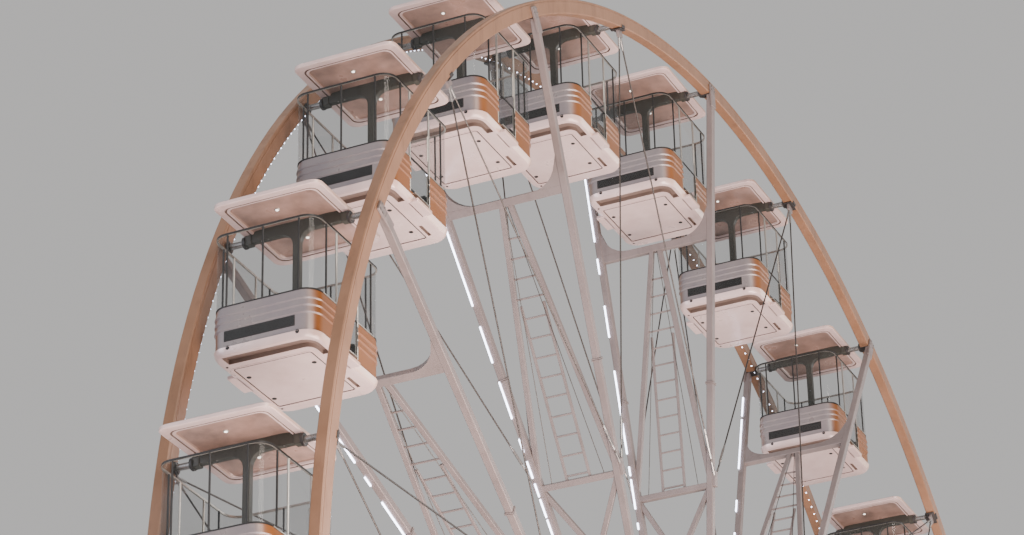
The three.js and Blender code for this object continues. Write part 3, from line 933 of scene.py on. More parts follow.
@dataclass
class SpokeFrame:
    """The frame that is repeated twelve times: two spokes, cross-beams, braces, a ladder and lights."""

    hub_radius: float = 0.9003
    tip_gap: float = 0.015
    width: float = 0.11
    depth: float = 0.12
    outer_beam: float = 12.284
    middle_beam: float = 7.906
    inner_beam: float = 6.75
    beam: float = 0.1
    outer_beam_depth: float = 0.13
    brace: float = 0.08
    haunch: float = 0.48
    # How far a haunch starts outside the cross-beam's middle, and how far it is sunk in the spoke
    haunch_base: float = 0.06
    haunch_sunk: float = 0.006
    stile: float = 0.19
    stile_top: float = 10.7
    stile_width: float = 0.04
    apex: float = 0.065
    rungs: int = 13
    rung: float = 0.016
    lowest_rung: float = 8.015
    rung_pitch: float = 0.3095
    rope: float = 0.006
    rope_foot: float = 0.44
    rope_head: float = 0.02
    rope_lift: float = 0.03
    splices: tuple[float, ...] = (3.4, 9.66)
    # A splice's two collars: how far they stand out, their thickness, and half the distance between them
    collar_lap: float = 0.03
    collar: float = 0.018
    collar_gap: float = 0.012
    fork: tuple[float, float] = (14.61, 15.03)
    fork_half: float = 0.085
    fork_plate: float = 0.036
    fork_bolts: tuple[float, float] = (14.92, 14.99)
    fork_gauge: float = 0.055
    gusset: tuple[float, float, float] = (0.11, 0.16, 0.045)
    strip: tuple[float, float] = (0.026, 0.024)
    # How far a strip's middle lies inside the spoke's outer face, and outside its long face
    strip_at: tuple[float, float] = (0.012, 0.011)
    # Lit lengths of the strips by frame, as distances from the hub; the other frames repeat the fifth
    lit: dict[int, tuple[tuple[float, float], ...]] = field(default_factory=lambda: {
        2: ((13.57, 14.12), (12.06, 13.47), (10.87, 11.18), (9.6, 10.3), (8.4, 9.2)),
        3: ((12.63, 13.85), (12.02, 12.31), (10.84, 11.43), (9.41, 10.23), (8.72, 9.28), (8.33, 8.5),
            (7.74, 8.27), (7.38, 7.5)),
        4: ((12.5, 13.6), (10.87, 12.18), (9.96, 10.55), (9.06, 9.66), (8.52, 8.74), (8.1, 8.38),
            (7.8, 8.02), (7.47, 7.77), (7.0, 7.44)),
        5: ((11.09, 12.3), (10.64, 10.82), (9.3, 10.33), (8.2, 9.0))})
    repeated: int = 4

    def _on(self, radius: float, sign: int) -> Vector:
        """Give the point on the middle line of one spoke at a distance from the hub."""
        return Vector((radius, sign * SPOKE_SLOPE * radius, 0))

    def _root(self, sign: int) -> Vector:
        """Give the point where a long brace meets its spoke."""
        return self._on(self.middle_beam + self.brace, sign)

    def _spoke(self, form: Form, sign: int) -> None:
        """Add one spoke with its collared splices and its fork on the rim.

        Args:
            form: The form that takes it.
            sign: Its side of the wheel.
        """
        tip = self._on(RIM_RADIUS - RIM_DEPTH / 2 - self.tip_gap, sign)
        form.bar(self._on(self.hub_radius, sign), tip, self.width, self.depth, Finish.FRAME, 0.009)
        along = self._on(1, sign).normalized()
        for at in self.splices:
            for shift in (-self.collar_gap, self.collar_gap):
                a = self._on(at, sign) + along * (shift - self.collar / 2)
                form.bar(a, a + along * self.collar, self.width + self.collar_lap,
                         self.depth + self.collar_lap, Finish.FRAME, 0.003)
        face = sign * (RIM_OFFSET + RIM_WIDTH / 2)
        out = face + sign * self.fork_plate
        low, high = self.fork
        form.box((low, face + sign * FIT, -self.fork_half), (high, out, self.fork_half), Finish.FRAME, 0.006)
        form.bolts([(r, out, t) for r in self.fork_bolts for t in (-self.fork_gauge, self.fork_gauge)],
                   (0, sign, 0), 0.015, 0.013)

    def _haunch(self, form: Form, sign: int) -> None:
        """Add the rounded corner between the outer cross-beam and a spoke.

        Args:
            form: The form that takes it.
            sign: The spoke's side of the wheel.
        """
        base, reach = self.outer_beam + self.haunch_base, self.haunch
        edge, tip = (SPOKE_SLOPE * r - self.width / 2 + self.haunch_sunk for r in (base, base + reach))
        arc = [(base + reach * (1 - math.cos(a)), edge - reach * (1 - math.sin(a)))
               for a in map(math.radians, range(12, 73, 12))]
        outline = [(base, edge), (base + reach, tip), *reversed(arc), (base, edge - reach)]
        form.plate([(x, sign * y) for x, y in outline], self.depth - 0.016, Finish.FRAME)

    def _ladder(self, form: Form) -> None:
        """Add the ladder: rungs between the braces and then between stiles, with a thin rope on each side.

        Args:
            form: The form that takes it.
        """
        root = self._root(1)
        for k in range(self.rungs):
            at = self.lowest_rung + k * self.rung_pitch
            share = (self.outer_beam - at) / (self.outer_beam - root.x)
            half = self.stile if at < self.stile_top else self.apex + (root.y - self.apex) * share
            form.rod((at, -half, 0), (at, half, 0), self.rung, 8, Finish.FRAME)
        for sign in SIGNS:
            form.bar((self.middle_beam, sign * self.stile, 0), (self.stile_top, sign * self.stile, 0),
                     self.stile_width, self.stile_width, Finish.FRAME, 0.004)
            form.rod((self.middle_beam, sign * self.rope_foot, self.rope_lift),
                     (self.outer_beam, sign * self.rope_head, self.rope_lift), self.rope, 6, Finish.ROPE)

    def _lights(self, lengths: Sequence[tuple[float, float]]) -> bpy.types.Mesh:
        """Lay the lit lengths of the strips along the far spoke's two long faces.

        Args:
            lengths: Their ends, as distances from the hub.

        Returns:
            The mesh.
        """
        form = Form()
        inside, outside = self.strip_at
        for turn in SIGNS:
            shift = Vector((0, self.width / 2 - inside, turn * (self.depth / 2 + outside)))
            for a, b in lengths:
                form.bar(self._on(a, 1) + shift, self._on(b, 1) + shift, *self.strip, Finish.STRIP, 0.006)
        return form.mesh("strips")

    def build(self) -> None:
        """Build one frame and set it round the hub."""
        form = Form()
        for sign in SIGNS:
            self._spoke(form, sign)
            self._haunch(form, sign)
            form.bar((self.outer_beam, sign * self.apex, 0), self._root(sign), self.brace, self.brace,
                     Finish.FRAME, 0.006)
            form.bar((self.inner_beam, 0, 0), self._on(self.middle_beam, sign), self.brace, self.brace,
                     Finish.FRAME, 0.006)
        for at, depth in ((self.outer_beam, self.outer_beam_depth), (self.middle_beam, self.beam),
                          (self.inner_beam, self.beam)):
            form.bar(self._on(at, -1), self._on(at, 1), depth, self.beam, Finish.FRAME, 0.007,
                     across=(1, 0, 0))
        middle, half = Vector((self.inner_beam, 0, 0)), Vector(self.gusset)
        form.box(middle - half, middle + half, Finish.FRAME, 0.004)
        self._ladder(form)
        steel = form.mesh("frame")
        for k in range(FRAMES):
            name, place = f"spoke_frame_{k + 1:02d}", around(k)
            show(moved(steel, place, name), f"{name}_steel", "wheel", "frame_paint", name)
            strips = self._lights(self.lit.get(k, self.lit[self.repeated]))
            show(moved(strips, place, name), f"{name}_lights", "wheel", "frame_paint")


@dataclass
class StayCables:
    """The wire ropes of one side, each with its sockets, turnbuckle and lugs."""

    side: Side
    rope: float = 0.0125
    rope_start: float = 0.09
    socket: tuple[float, float] = (0.04, 0.28)
    socket_radii: tuple[float, float] = (0.026, 0.017)
    turnbuckle_at: float = 0.75
    turnbuckle: float = 0.32
    turnbuckle_radius: float = 0.024
    screw: float = 0.09
    screw_radius: float = 0.016
    spoke_skin: float = 0.055
    lug_at: float = 8.0
    lug: float = 0.044
    lug_seat: float = 0.001
    lug_half: float = 0.13
    lug_width: float = 0.11
    pin_depth: float = 0.065
    # Brackets on the rim: depth, half thickness along the axle and half width, and those of their foot plates
    bracket: tuple[float, float, float] = (0.13, 0.022, 0.085)
    foot_plate: tuple[float, float, float] = (0.02, 0.075, 0.12)

    def _rope(self, form: Form, top: Vector, foot: Vector) -> None:
        """Run one rope from its rim bracket to its spoke lug.

        Args:
            form: The form that takes it.
            top: Its pin at the rim.
            foot: Its pin at the spoke.
        """
        along = (foot - top).normalized()
        form.rod(top + along * self.rope_start, foot - along * self.rope_start, self.rope, 8, Finish.ROPE)
        wide, narrow = self.socket_radii
        for end, way in ((top, along), (foot, -along)):
            start, stop = (end + way * reach for reach in self.socket)
            form.rod(start, stop, wide, 10, Finish.MACHINED, end_radius=narrow)
        a = foot - along * self.turnbuckle_at
        b = a + along * self.turnbuckle
        form.rod(a, b, self.turnbuckle_radius, 10, Finish.MACHINED, soft=0.006)
        form.rod(a - along * self.screw, a, self.screw_radius, 8, Finish.MACHINED)
        form.rod(b, b + along * self.screw, self.screw_radius, 8, Finish.MACHINED)

    def build(self) -> None:
        """Build the zigzag of ropes."""
        sign, name = self.side.value, f"stay_cables_{self.side.name.lower()}"
        # A flat of the CAD's rim, which has 72 of them
        flat = (RIM_RADIUS - RIM_DEPTH / 2) * math.cos(math.pi / 72) - FIT
        spoke_y = self.lug_at * SPOKE_SLOPE + self.spoke_skin + FIT + self.lug / 2 + self.lug_seat
        pin = Vector((self.lug_at, sign * spoke_y, 0))
        half = Vector((self.lug_half, sign * self.lug_half * SPOKE_SLOPE, 0))
        form = Form()
        for k in range(FRAMES):
            frame, middle = around(k), around(k + 0.5)
            for (depth, thick, wide), finish, soft in ((self.bracket, Finish.FRAME, 0.006),
                                                       (self.foot_plate, Finish.CLAMP, 0.004)):
                form.box((flat - depth, sign * (RIM_OFFSET - thick), -wide),
                         (flat, sign * (RIM_OFFSET + thick), wide), finish, soft, middle)
            form.bar(frame @ (pin - half), frame @ (pin + half), self.lug, self.lug_width,
                     Finish.FRAME, 0.006)
            top = middle @ Vector((flat - self.pin_depth, sign * RIM_OFFSET, 0))
            for lug in (frame, around(k + 1)):
                self._rope(form, top, lug @ pin)
        show(form.mesh(name), f"{name}_ropes", "wheel", "cable_steel", name)


@dataclass
class Hub:
    """The hub drum with its sleeve, ribs and bolted spoke feet."""

    radius: float = 0.9
    half: float = 0.2
    sleeve: float = 0.27
    sleeve_half: float = 0.48
    bore: float = 0.1515
    dish: float = 0.03
    rib: tuple[float, float] = (0.012, 0.09)
    bolts: int = 36

    def build(self) -> None:
        """Build the hub."""
        form = Form()
        r, h, s, sh, dish = self.radius, self.half, self.sleeve, self.sleeve_half, self.dish
        # Half of the section, from the bore out to the rim of the drum
        section = [(self.bore, sh), (s - 0.02, sh), (s, sh - 0.02), (s, h + 0.06), (s + 0.05, h),
                   (r - 0.16, h), (r - 0.14, h - dish), (r - 0.06, h - dish), (r - 0.04, h),
                   (r - 0.012, h), (r, h - 0.012)]
        form.ring([(x, -y) for x, y in section] + section[::-1], 72, Finish.HUB)
        thick, proud = self.rib
        for k in range(FRAMES * 2):
            for sign in SIGNS:
                form.box((s, sign * h, -thick), (r - 0.18, sign * (h + proud), thick), Finish.HUB, 0.003,
                         around(k / 2))
        for k in range(self.bolts):
            place = around(k * FRAMES / self.bolts)
            for sign in SIGNS:
                form.bolts([(r - 0.1, sign * (h - dish), 0)], (0, sign, 0), 0.018, 0.016, place)
                form.bolts([(s - 0.045, sign * sh, 0)], (0, sign, 0), 0.01, 0.009, place)
        show(form.mesh("hub"), "hub_drum", "wheel", "hub_paint", "hub")


@dataclass
class Cabin:
    """A cabin about its pivot: tub, roof tray, hanger, glazing and benches."""

    half_x: float = 0.95
    half_y: float = 0.775
    corner: float = 0.22
    top: float = -1.43
    bottom: float = -2.12
    floor: float = -1.96
    wall: float = 0.05
    lap: float = 0.014
    ridges: tuple[float, ...] = (-1.56, -1.66, -1.762)
    # The lower lip's rings: inset and height
    lip: tuple[tuple[float, float], ...] = ((0.06, -2.12), (0.035, -2.108), (0.012, -2.07), (0.0, -2.018))
    lip_top: float = -2.006
    roof_x: float = 0.92
    roof_y: float = 0.79
    roof_corner: float = 0.085
    # The roof tray's rings from its lining, over groove, bead and lip, to its crown: inset, height, finish.
    # The groove's channel finish is painted shade.
    roof: tuple[tuple[float, float, Finish], ...] = (
        (0.30, 0.128, Finish.LINING), (0.175, 0.118, Finish.LINING), (0.160, 0.104, Finish.LINING),
        (0.152, 0.083, Finish.UNDERSIDE), (0.126, 0.083, Finish.UNDERSIDE), (0.120, 0.100, Finish.CHANNEL),
        (0.110, 0.100, Finish.CHANNEL), (0.104, 0.079, Finish.CHANNEL), (0.014, 0.077, Finish.UNDERSIDE),
        (0.0, 0.088, Finish.UNDERSIDE), (0.0, 0.130, Finish.UNDERSIDE), (0.012, 0.142, Finish.UNDERSIDE),
        (0.10, 0.160, Finish.UNDERSIDE), (0.38, 0.178, Finish.UNDERSIDE))
    lamp_at: tuple[float, float] = (0.42, 0.08)
    # The hanger: half the column's width, heights of the beam's lower and upper face, and its thickness
    column: float = 0.052
    beam: tuple[float, float] = (-0.035, 0.150)
    hanger: float = 0.09
    hanger_haunch: float = 0.18
    # Where a pin and its cap start and end along the axle
    pin: tuple[float, float] = (0.70, 1.003)
    pin_radius: float = 0.045
    pin_cap: tuple[float, float] = (0.755, 0.80)
    pin_cap_radius: float = 0.085
    doorway: tuple[float, float] = (-0.33, 0.23)
    rail: tuple[float, float] = (-0.395, -0.365)
    pane_inset: float = 0.018
    post: float = 0.024
    # Half a bar's width, and how far it reaches inside and outside the glass
    bar: tuple[float, float, float] = (0.011, 0.016, 0.006)
    bars: tuple[float, ...] = (-0.52, 0.0, 0.52)
    side_bars: tuple[float, ...] = (-0.62, 0.62)
    handle_at: float = 0.06
    handle: tuple[float, float] = (-1.25, -0.85)
    handle_feet: tuple[float, float] = (-1.23, -0.87)
    slot_y: tuple[float, float] = (-0.48, 0.54)
    slot_z: tuple[float, float] = (-1.935, -1.785)
    lip_plugs: tuple[float, ...] = (-0.52, 0.48)
    lip_plug_z: float = -2.03
    # The channel in the underside: its outer and inner edge, and where it stops
    channel_out: tuple[float, float] = (0.868, 0.695)
    channel_in: tuple[float, float] = (0.665, 0.59)
    channel_stops: tuple[float, float] = (-0.38, 0.61)
    channel_depth: float = 0.065
    # Two opposite corners of the notch beside the channel
    notch: tuple[tuple[float, float], tuple[float, float]] = ((0.35, -0.585), (0.66, -0.535))
    plate_middle: tuple[float, float] = (0.085, 0.07)
    plate_half: tuple[float, float] = (0.615, 0.565)
    # Black discs where the underside has small dark holes, their black painted shade: x, y and radius.
    dark_hole_discs: tuple[tuple[float, float, float], ...] = (
        (-0.235, -0.385, 0.033), (0.45, -0.37, 0.033), (-0.235, 0.56, 0.033), (0.46, 0.57, 0.033),
        (-0.61, 0.67, 0.018), (0.77, 0.625, 0.018))
    # A bench's boxes for one end: lower and upper corner, and bevel
    bench: tuple[tuple[tuple, tuple, float], ...] = (
        ((0.53, -0.55, -1.96), (0.90, 0.55, -1.60), 0.02),
        ((0.51, -0.56, -1.60), (0.905, 0.56, -1.545), 0.018),
        ((0.85, -0.50, -1.56), (0.895, 0.50, -1.445), 0.015))
    bench_joints: tuple[float, ...] = (-0.185, 0.185)

    def _wall_levels(self) -> list[Level]:
        """List the rings of the tub from its underside, over its lip and its laps, to its floor.

        Returns:
            The rings.
        """
        rings = [(inset, z, Finish.UNDERSIDE) for inset, z in self.lip]
        edge, lap, wall = self.top - 0.006, self.lap, self.wall
        sides = [(lap, self.lip_top)]
        for at in reversed(self.ridges):
            sides += [(lap, at - 0.016), (0.0, at), (0.0, at + 0.006), (lap, at + 0.075)]
        sides += [(lap, self.top - 0.03), (0.018, edge), (0.03, self.top), (wall, edge),
                  (wall, self.floor + 0.02)]
        rings += [(inset, z, Finish.SHELL) for inset, z in sides] + [(wall + 0.02, self.floor, Finish.BENCH)]
        return [Level(self.half_x - inset, self.half_y - inset, z, finish) for inset, z, finish in rings]

    def _cutters(self) -> bpy.types.Mesh:
        """Shape the tools that cut the doorways, the channel round the underside and its notch.

        Returns:
            The tools, in one mesh.
        """
        form = Form()
        left, right = self.doorway
        # The doorways' tools reach through the wall from both sides of it
        inside, outside = self.half_y - 0.115, self.half_y + 0.125
        for sign in SIGNS:
            form.box((left, sign * inside, self.floor), (right, sign * outside, self.top + 0.05), Finish.JAMB)
        # The notch and channel tools carry the channel finish, so the faces that they cut get its painted
        # shade.
        form.box((*self.notch[0], self.bottom - 0.02), (*self.notch[1], self.bottom + 0.05), Finish.CHANNEL)
        (out_x, out_y), (in_x, in_y), (end, stop) = self.channel_out, self.channel_in, self.channel_stops
        outline = [(end, -out_y), (end, -in_y), (-in_x, -in_y), (-in_x, stop), (-out_x, stop),
                   (-out_x, -out_y)]
        form.plate(outline, self.channel_depth * 2, Finish.CHANNEL, rounded={2: 0.13, 5: 0.20},
                   place=Matrix.Translation((0, 0, self.bottom)))
        return form.mesh("cutters")

    def _tub_side(self, form: Form, sign: int) -> None:
        """Add what stands on the tub at one end and along one side of it.

        Args:
            form: The form that takes it.
            sign: The end and the side.
        """
        form.box((-0.30, sign * 0.69, self.bottom), (0.15, sign * 0.85, self.bottom + 0.06),
                 Finish.UNDERSIDE, 0.012)
        form.box((-0.27, sign * 0.71, self.floor - 0.012), (0.17, sign * 0.80, self.floor + 0.004),
                 Finish.JAMB, 0.003)
        face, (low, high), (start, end) = self.half_x - self.lap, self.slot_z, self.slot_y
        form.box((sign * (face - 0.01), start, low), (sign * (face + 0.006), end, high), Finish.TRIM, 0.003)
        form.box((sign * (face + 0.004), start + 0.02, low + 0.018),
                 (sign * (face + 0.009), end - 0.02, high - 0.018), Finish.GLASS, 0.001)
        for y in self.lip_plugs:
            a, b = ((sign * (self.half_x - inset), y, self.lip_plug_z) for inset in (0.02, 0.0005))
            form.rod(a, b, 0.028, 14, Finish.TRIM)

    def _tub(self) -> bpy.types.Mesh:
        """Shape the tub with its sills, slots, seams, lip plugs and the black discs painted as shade in the
        underside's holes.

        Returns:
            The mesh.
        """
        form = Form()
        form.drawn_up(self._wall_levels(), self.corner, 8)
        tub = carve(form.mesh("tub"), self._cutters())
        form = Form()
        form.bm.from_mesh(tub)
        names = [m.name for m in tub.materials]
        for face in form.bm.faces:
            face.material_index = ORDER.index(Finish(names[face.material_index]))
        for sign in SIGNS:
            self._tub_side(form, sign)
        (x, y), bottom = self.plate_half, self.bottom
        for lap, drop, thickness, corner, finish in ((0.0, 0.002, 0.016, 0.04, Finish.TRIM),
                                                     (0.026, 0.006, 0.022, 0.06, Finish.UNDERSIDE)):
            form.band(x + lap, y + lap, (bottom - drop, bottom + 0.004), thickness, corner, finish, finish,
                      self.plate_middle)
        # Black discs stand for the underside's small holes: their black is painted shade.
        for x, y, radius in self.dark_hole_discs:
            form.rod((x, y, bottom + 0.004), (x, y, bottom - 0.003), radius, 14, Finish.TRIM)
        return form.mesh("cabin_tub")

    def _roof(self) -> bpy.types.Mesh:
        """Shape the roof tray with its lamps.

        Returns:
            The mesh.
        """
        form = Form()
        form.drawn_up([Level(self.roof_x - inset, self.roof_y - inset, z, finish)
                       for inset, z, finish in self.roof], self.roof_corner, 6)
        x, y = self.lamp_at
        for sign in SIGNS:
            for (high, low), radius, finish, soft in (((0.134, 0.118), 0.038, Finish.JAMB, 0.004),
                                                      ((0.120, 0.115), 0.022, Finish.LAMP, 0.0)):
                form.rod((sign * x, y, high), (sign * x, y, low), radius, 16, finish, soft=soft)
        return form.mesh("cabin_roof")

    def _hanger(self) -> bpy.types.Mesh:
        """Shape the hanger: a beam and a column with rounded haunches, the pins and their end caps.

        Returns:
            The mesh.
        """
        form = Form()
        # Turns a plate drawn in X and Y upright, along the axle
        upright = Matrix(((0, 0, 1, 0), (1, 0, 0, 0), (0, 1, 0, 0), (0, 0, 0, 1)))
        (low, high), end, column = self.beam, self.roof_y - 0.03, self.column
        form.plate([(-column, self.floor), (column, self.floor), (column, low), (end, low), (end, high),
                    (-end, high), (-end, low), (-column, low)], self.hanger, Finish.HANGER,
                   rounded={2: self.hanger_haunch, 7: self.hanger_haunch}, soft=0.006, steps=8, place=upright)
        for sign in SIGNS:
            for span, radius, finish, soft in ((self.pin, self.pin_radius, Finish.MACHINED, 0.004),
                                               (self.pin_cap, self.pin_cap_radius, Finish.CLAMP, 0.006)):
                form.rod((0, sign * span[0], 0), (0, sign * span[1], 0), radius, 20, finish, soft=soft)
            form.box((-0.058, sign * 0.66, -0.06), (0.058, sign * 0.765, 0.085), Finish.HANGER, 0.01)
            form.bolts([(x, y * sign, low) for x in (-0.03, 0.03) for y in (0.42, 0.52)],
                       (0, 0, -1), 0.011, 0.009)
        form.box((-0.13, -0.13, self.floor), (0.13, 0.13, self.floor + 0.02), Finish.HANGER, 0.004)
        return form.mesh("cabin_hanger")

    def _door(self, form: Form, sign: int, y: float, head: float) -> None:
        """Add one door leaf between its posts, with its handle.

        Args:
            form: The form that takes it.
            sign: Its side of the cabin.
            y: Distance of the glass from the cabin's middle.
            head: Height of the posts' upper ends.
        """
        (left, right), floor, post = self.doorway, self.floor, self.post
        for at in (left - post, right):
            form.box((at, sign * (y - 0.018), floor), (at + post, sign * (y + 0.008), head),
                     Finish.JAMB, 0.004)
        form.box((left, sign * (y - 0.014), floor + 0.05), (right, sign * (y - 0.006), self.top - 0.008),
                 Finish.GLASS)
        form.box((left, sign * (y - 0.02), floor + 0.012), (right, sign * y, floor + 0.055),
                 Finish.TRIM, 0.004)
        at, out = right - self.handle_at, sign * (y + 0.014)
        low, high = self.handle
        form.rod((at, out, low), (at, out, high), 0.01, 10, Finish.JAMB)
        for z in self.handle_feet:
            form.rod((at, sign * (y - 0.002), z), (at, out, z), 0.008, 8, Finish.JAMB)

    def _glazing(self) -> bpy.types.Mesh:
        """Shape the curved glass, the rail along its top, its bars and the doors.

        Returns:
            The mesh.
        """
        form = Form()
        x, y, top = self.half_x - self.pane_inset, self.half_y - self.pane_inset, self.top
        foot, head = top - 0.01, self.rail[0] + 0.005
        form.band(x, y, (foot, head), 0.008, 0.215, Finish.GLASS, Finish.GLASS)
        # The rail is one shiny metal trim: its inner face has the metal's finish, and its outer face is black
        # as painted shade.
        form.band(x + 0.012, y + 0.012, self.rail, 0.02, 0.22, Finish.TRIM, Finish.JAMB)
        form.band(x + 0.003, y + 0.003, (top - 0.008, top + 0.012), 0.014, 0.218, Finish.TRIM, Finish.TRIM)
        left, right = self.doorway
        half, inside, outside = self.bar
        for sign in SIGNS:
            for at in self.bars:
                form.box((sign * (x - inside), at - half, foot), (sign * (x + outside), at + half, head),
                         Finish.TRIM, 0.003)
            for at in self.side_bars:
                form.box((at - half, sign * (y - inside), foot), (at + half, sign * (y + outside), head),
                         Finish.TRIM, 0.003)
            for start, end in ((-0.70, left - 0.03), (right + 0.03, 0.70)):
                form.box((start, sign * (y + 0.002), top - 0.004), (end, sign * (y + 0.008), top + 0.014),
                         Finish.JAMB, 0.002)
            self._door(form, sign, y, head)
        return form.mesh("cabin_glazing")

    def _benches(self) -> bpy.types.Mesh:
        """Shape the two moulded benches.

        Returns:
            The mesh.
        """
        form = Form()
        for sign in SIGNS:
            for (x0, y0, z0), (x1, y1, z1), soft in self.bench:
                form.box((sign * x0, y0, z0), (sign * x1, y1, z1), Finish.BENCH, soft)
            for y in self.bench_joints:
                form.box((sign * 0.515, y - 0.004, -1.546), (sign * 0.86, y + 0.004, -1.541), Finish.TRIM)
        return form.mesh("cabin_benches")

    def build(self) -> None:
        """Build the cabin once and hang a copy at each pivot."""
        parts = {"tub": self._tub(), "roof": self._roof(), "hanger": self._hanger(),
                 "glazing": self._glazing(), "benches": self._benches()}
        for n in range(CABINS):
            name, angle = f"cabin_{n + 1:02d}", PHASE + n * 2 * math.pi / CABINS
            x, z = PIVOT_RADIUS * math.cos(angle), PIVOT_RADIUS * math.sin(angle)
            place = Matrix.Translation((x, 0, HUB_HEIGHT + z))
            for part, mesh in parts.items():
                nodes = (name,) if part == "tub" else ()
                show(moved(mesh, place, f"{name}_{part}"), f"{name}_{part}", name, "cabin_shell", *nodes)


@dataclass
class Towers:
    """The tower heads' caps and the four legs' flanges, on the CAD's own axle, heads and legs."""

    leg_top: tuple[float, float, float] = (0.33, 1.13, -0.15)
    foot: tuple[float, float, float] = (7.0, 4.2, 0.4)
    leg: tuple[float, float] = (0.44, 0.34)
    joints: tuple[float, ...] = (0.33, 0.66)
    # A joint's two flanges: how far they stand out, their thickness, and half the distance between them
    flange_lap: float = 0.12
    flange: float = 0.028
    flange_gap: float = 0.018
    bolt_rows: tuple[float, ...] = (-0.2, -0.07, 0.07, 0.2)
    bolt_columns: tuple[float, ...] = (-0.15, 0.0, 0.15)
    bolt_edge: tuple[float, float] = (0.2, 0.25)
    sole: tuple[float, float, float] = (0.36, 0.24, 0.03)
    sole_bolts: tuple[float, float] = (0.31, 0.2)
    head_face: float = 1.5
    # The caps on a head: radius and thickness of the painted one and of the turned one
    cap: tuple[float, float] = (0.28, 0.04)
    boss: tuple[float, float] = (0.17, 0.035)
    cap_bolts: int = 12
    cap_circle: float = 0.235
    ribs: tuple[float, ...] = (-0.3, 0.3)
    rib: tuple[float, float] = (0.012, 0.05)
    rib_span: tuple[float, float] = (-0.55, 0.3)

    def _leg(self, sx: int, sy: int) -> bpy.types.Mesh:
        """Shape the bolted joints along a leg and its foot plate.

        Args:
            sx: The leg's end of the base.
            sy: Its side of the wheel.

        Returns:
            The mesh.
        """
        form = Form()
        flip = Matrix.Diagonal((sx, sy, 1))
        top, foot = flip @ Vector(self.leg_top) + Vector((0, 0, HUB_HEIGHT)), flip @ Vector(self.foot)
        along = (top - foot).normalized()
        side = (Vector((0, 1, 0)) - along * along.y).normalized()
        other = along.cross(side)
        wide, deep = self.bolt_edge
        spots = [(u, v * deep) for u in self.bolt_rows for v in SIGNS]
        spots += [(u * wide, v) for u in SIGNS for v in self.bolt_columns]
        for share in self.joints:
            centre = foot.lerp(top, share)
            for shift in (-self.flange_gap, self.flange_gap):
                a = centre + along * (shift - self.flange / 2)
                form.bar(a, a + along * self.flange, self.leg[1] + self.flange_lap,
                         self.leg[0] + self.flange_lap, Finish.TOWER, 0.004)
            face = centre + along * (self.flange_gap + self.flange / 2)
            form.bolts([face + side * u + other * v for u, v in spots], along, 0.02, 0.018)
        low, (x, y, z) = foot + Vector((0, 0, 0.0005)), self.sole
        form.box(low + Vector((-x, -y, 0)), low + Vector((x, y, z)), Finish.TOWER, 0.004)
        x, y = self.sole_bolts
        form.bolts([low + Vector((u * x, v * y, z)) for u in SIGNS for v in SIGNS], (0, 0, 1), 0.025, 0.022)
        return form.mesh("flanges")

    def _head(self, sy: int) -> bpy.types.Mesh:
        """Shape the caps, bolts and ribs on the outer face of a tower head.

        Args:
            sy: The head's side of the wheel.

        Returns:
            The mesh.
        """
        form = Form()
        (radius, thick), (boss, proud), out = self.cap, self.boss, self.head_face
        face, end = sy * (out + thick), sy * (out + thick + proud)
        form.rod((0, sy * out, HUB_HEIGHT), (0, face, HUB_HEIGHT), radius, 40, Finish.TOWER, soft=0.006)
        form.rod((0, face, HUB_HEIGHT), (0, end, HUB_HEIGHT), boss, 32, Finish.MACHINED, soft=0.008)
        form.bolts([(self.cap_circle * math.cos(a), face, HUB_HEIGHT + self.cap_circle * math.sin(a))
                    for a in (2 * math.pi * k / self.cap_bolts for k in range(self.cap_bolts))],
                   (0, sy, 0), 0.018, 0.016)
        (half, stand), (low, high) = self.rib, self.rib_span
        for x in self.ribs:
            form.box((x - half, sy * out, HUB_HEIGHT + low),
                     (x + half, sy * (out + stand), HUB_HEIGHT + high), Finish.TOWER, 0.003)
        return form.mesh("cap")

    def build(self) -> None:
        """Add the flanges to the legs and the caps to the heads."""
        for side in Side:
            tag = side.name.lower()
            for end in End:
                name = f"tower_leg_{tag}_{end.name.lower()}_flanges"
                show(self._leg(end.value, side.value), name, "support", "tower_paint")
            show(self._head(side.value), f"tower_head_{tag}_cap", "support", "tower_paint")


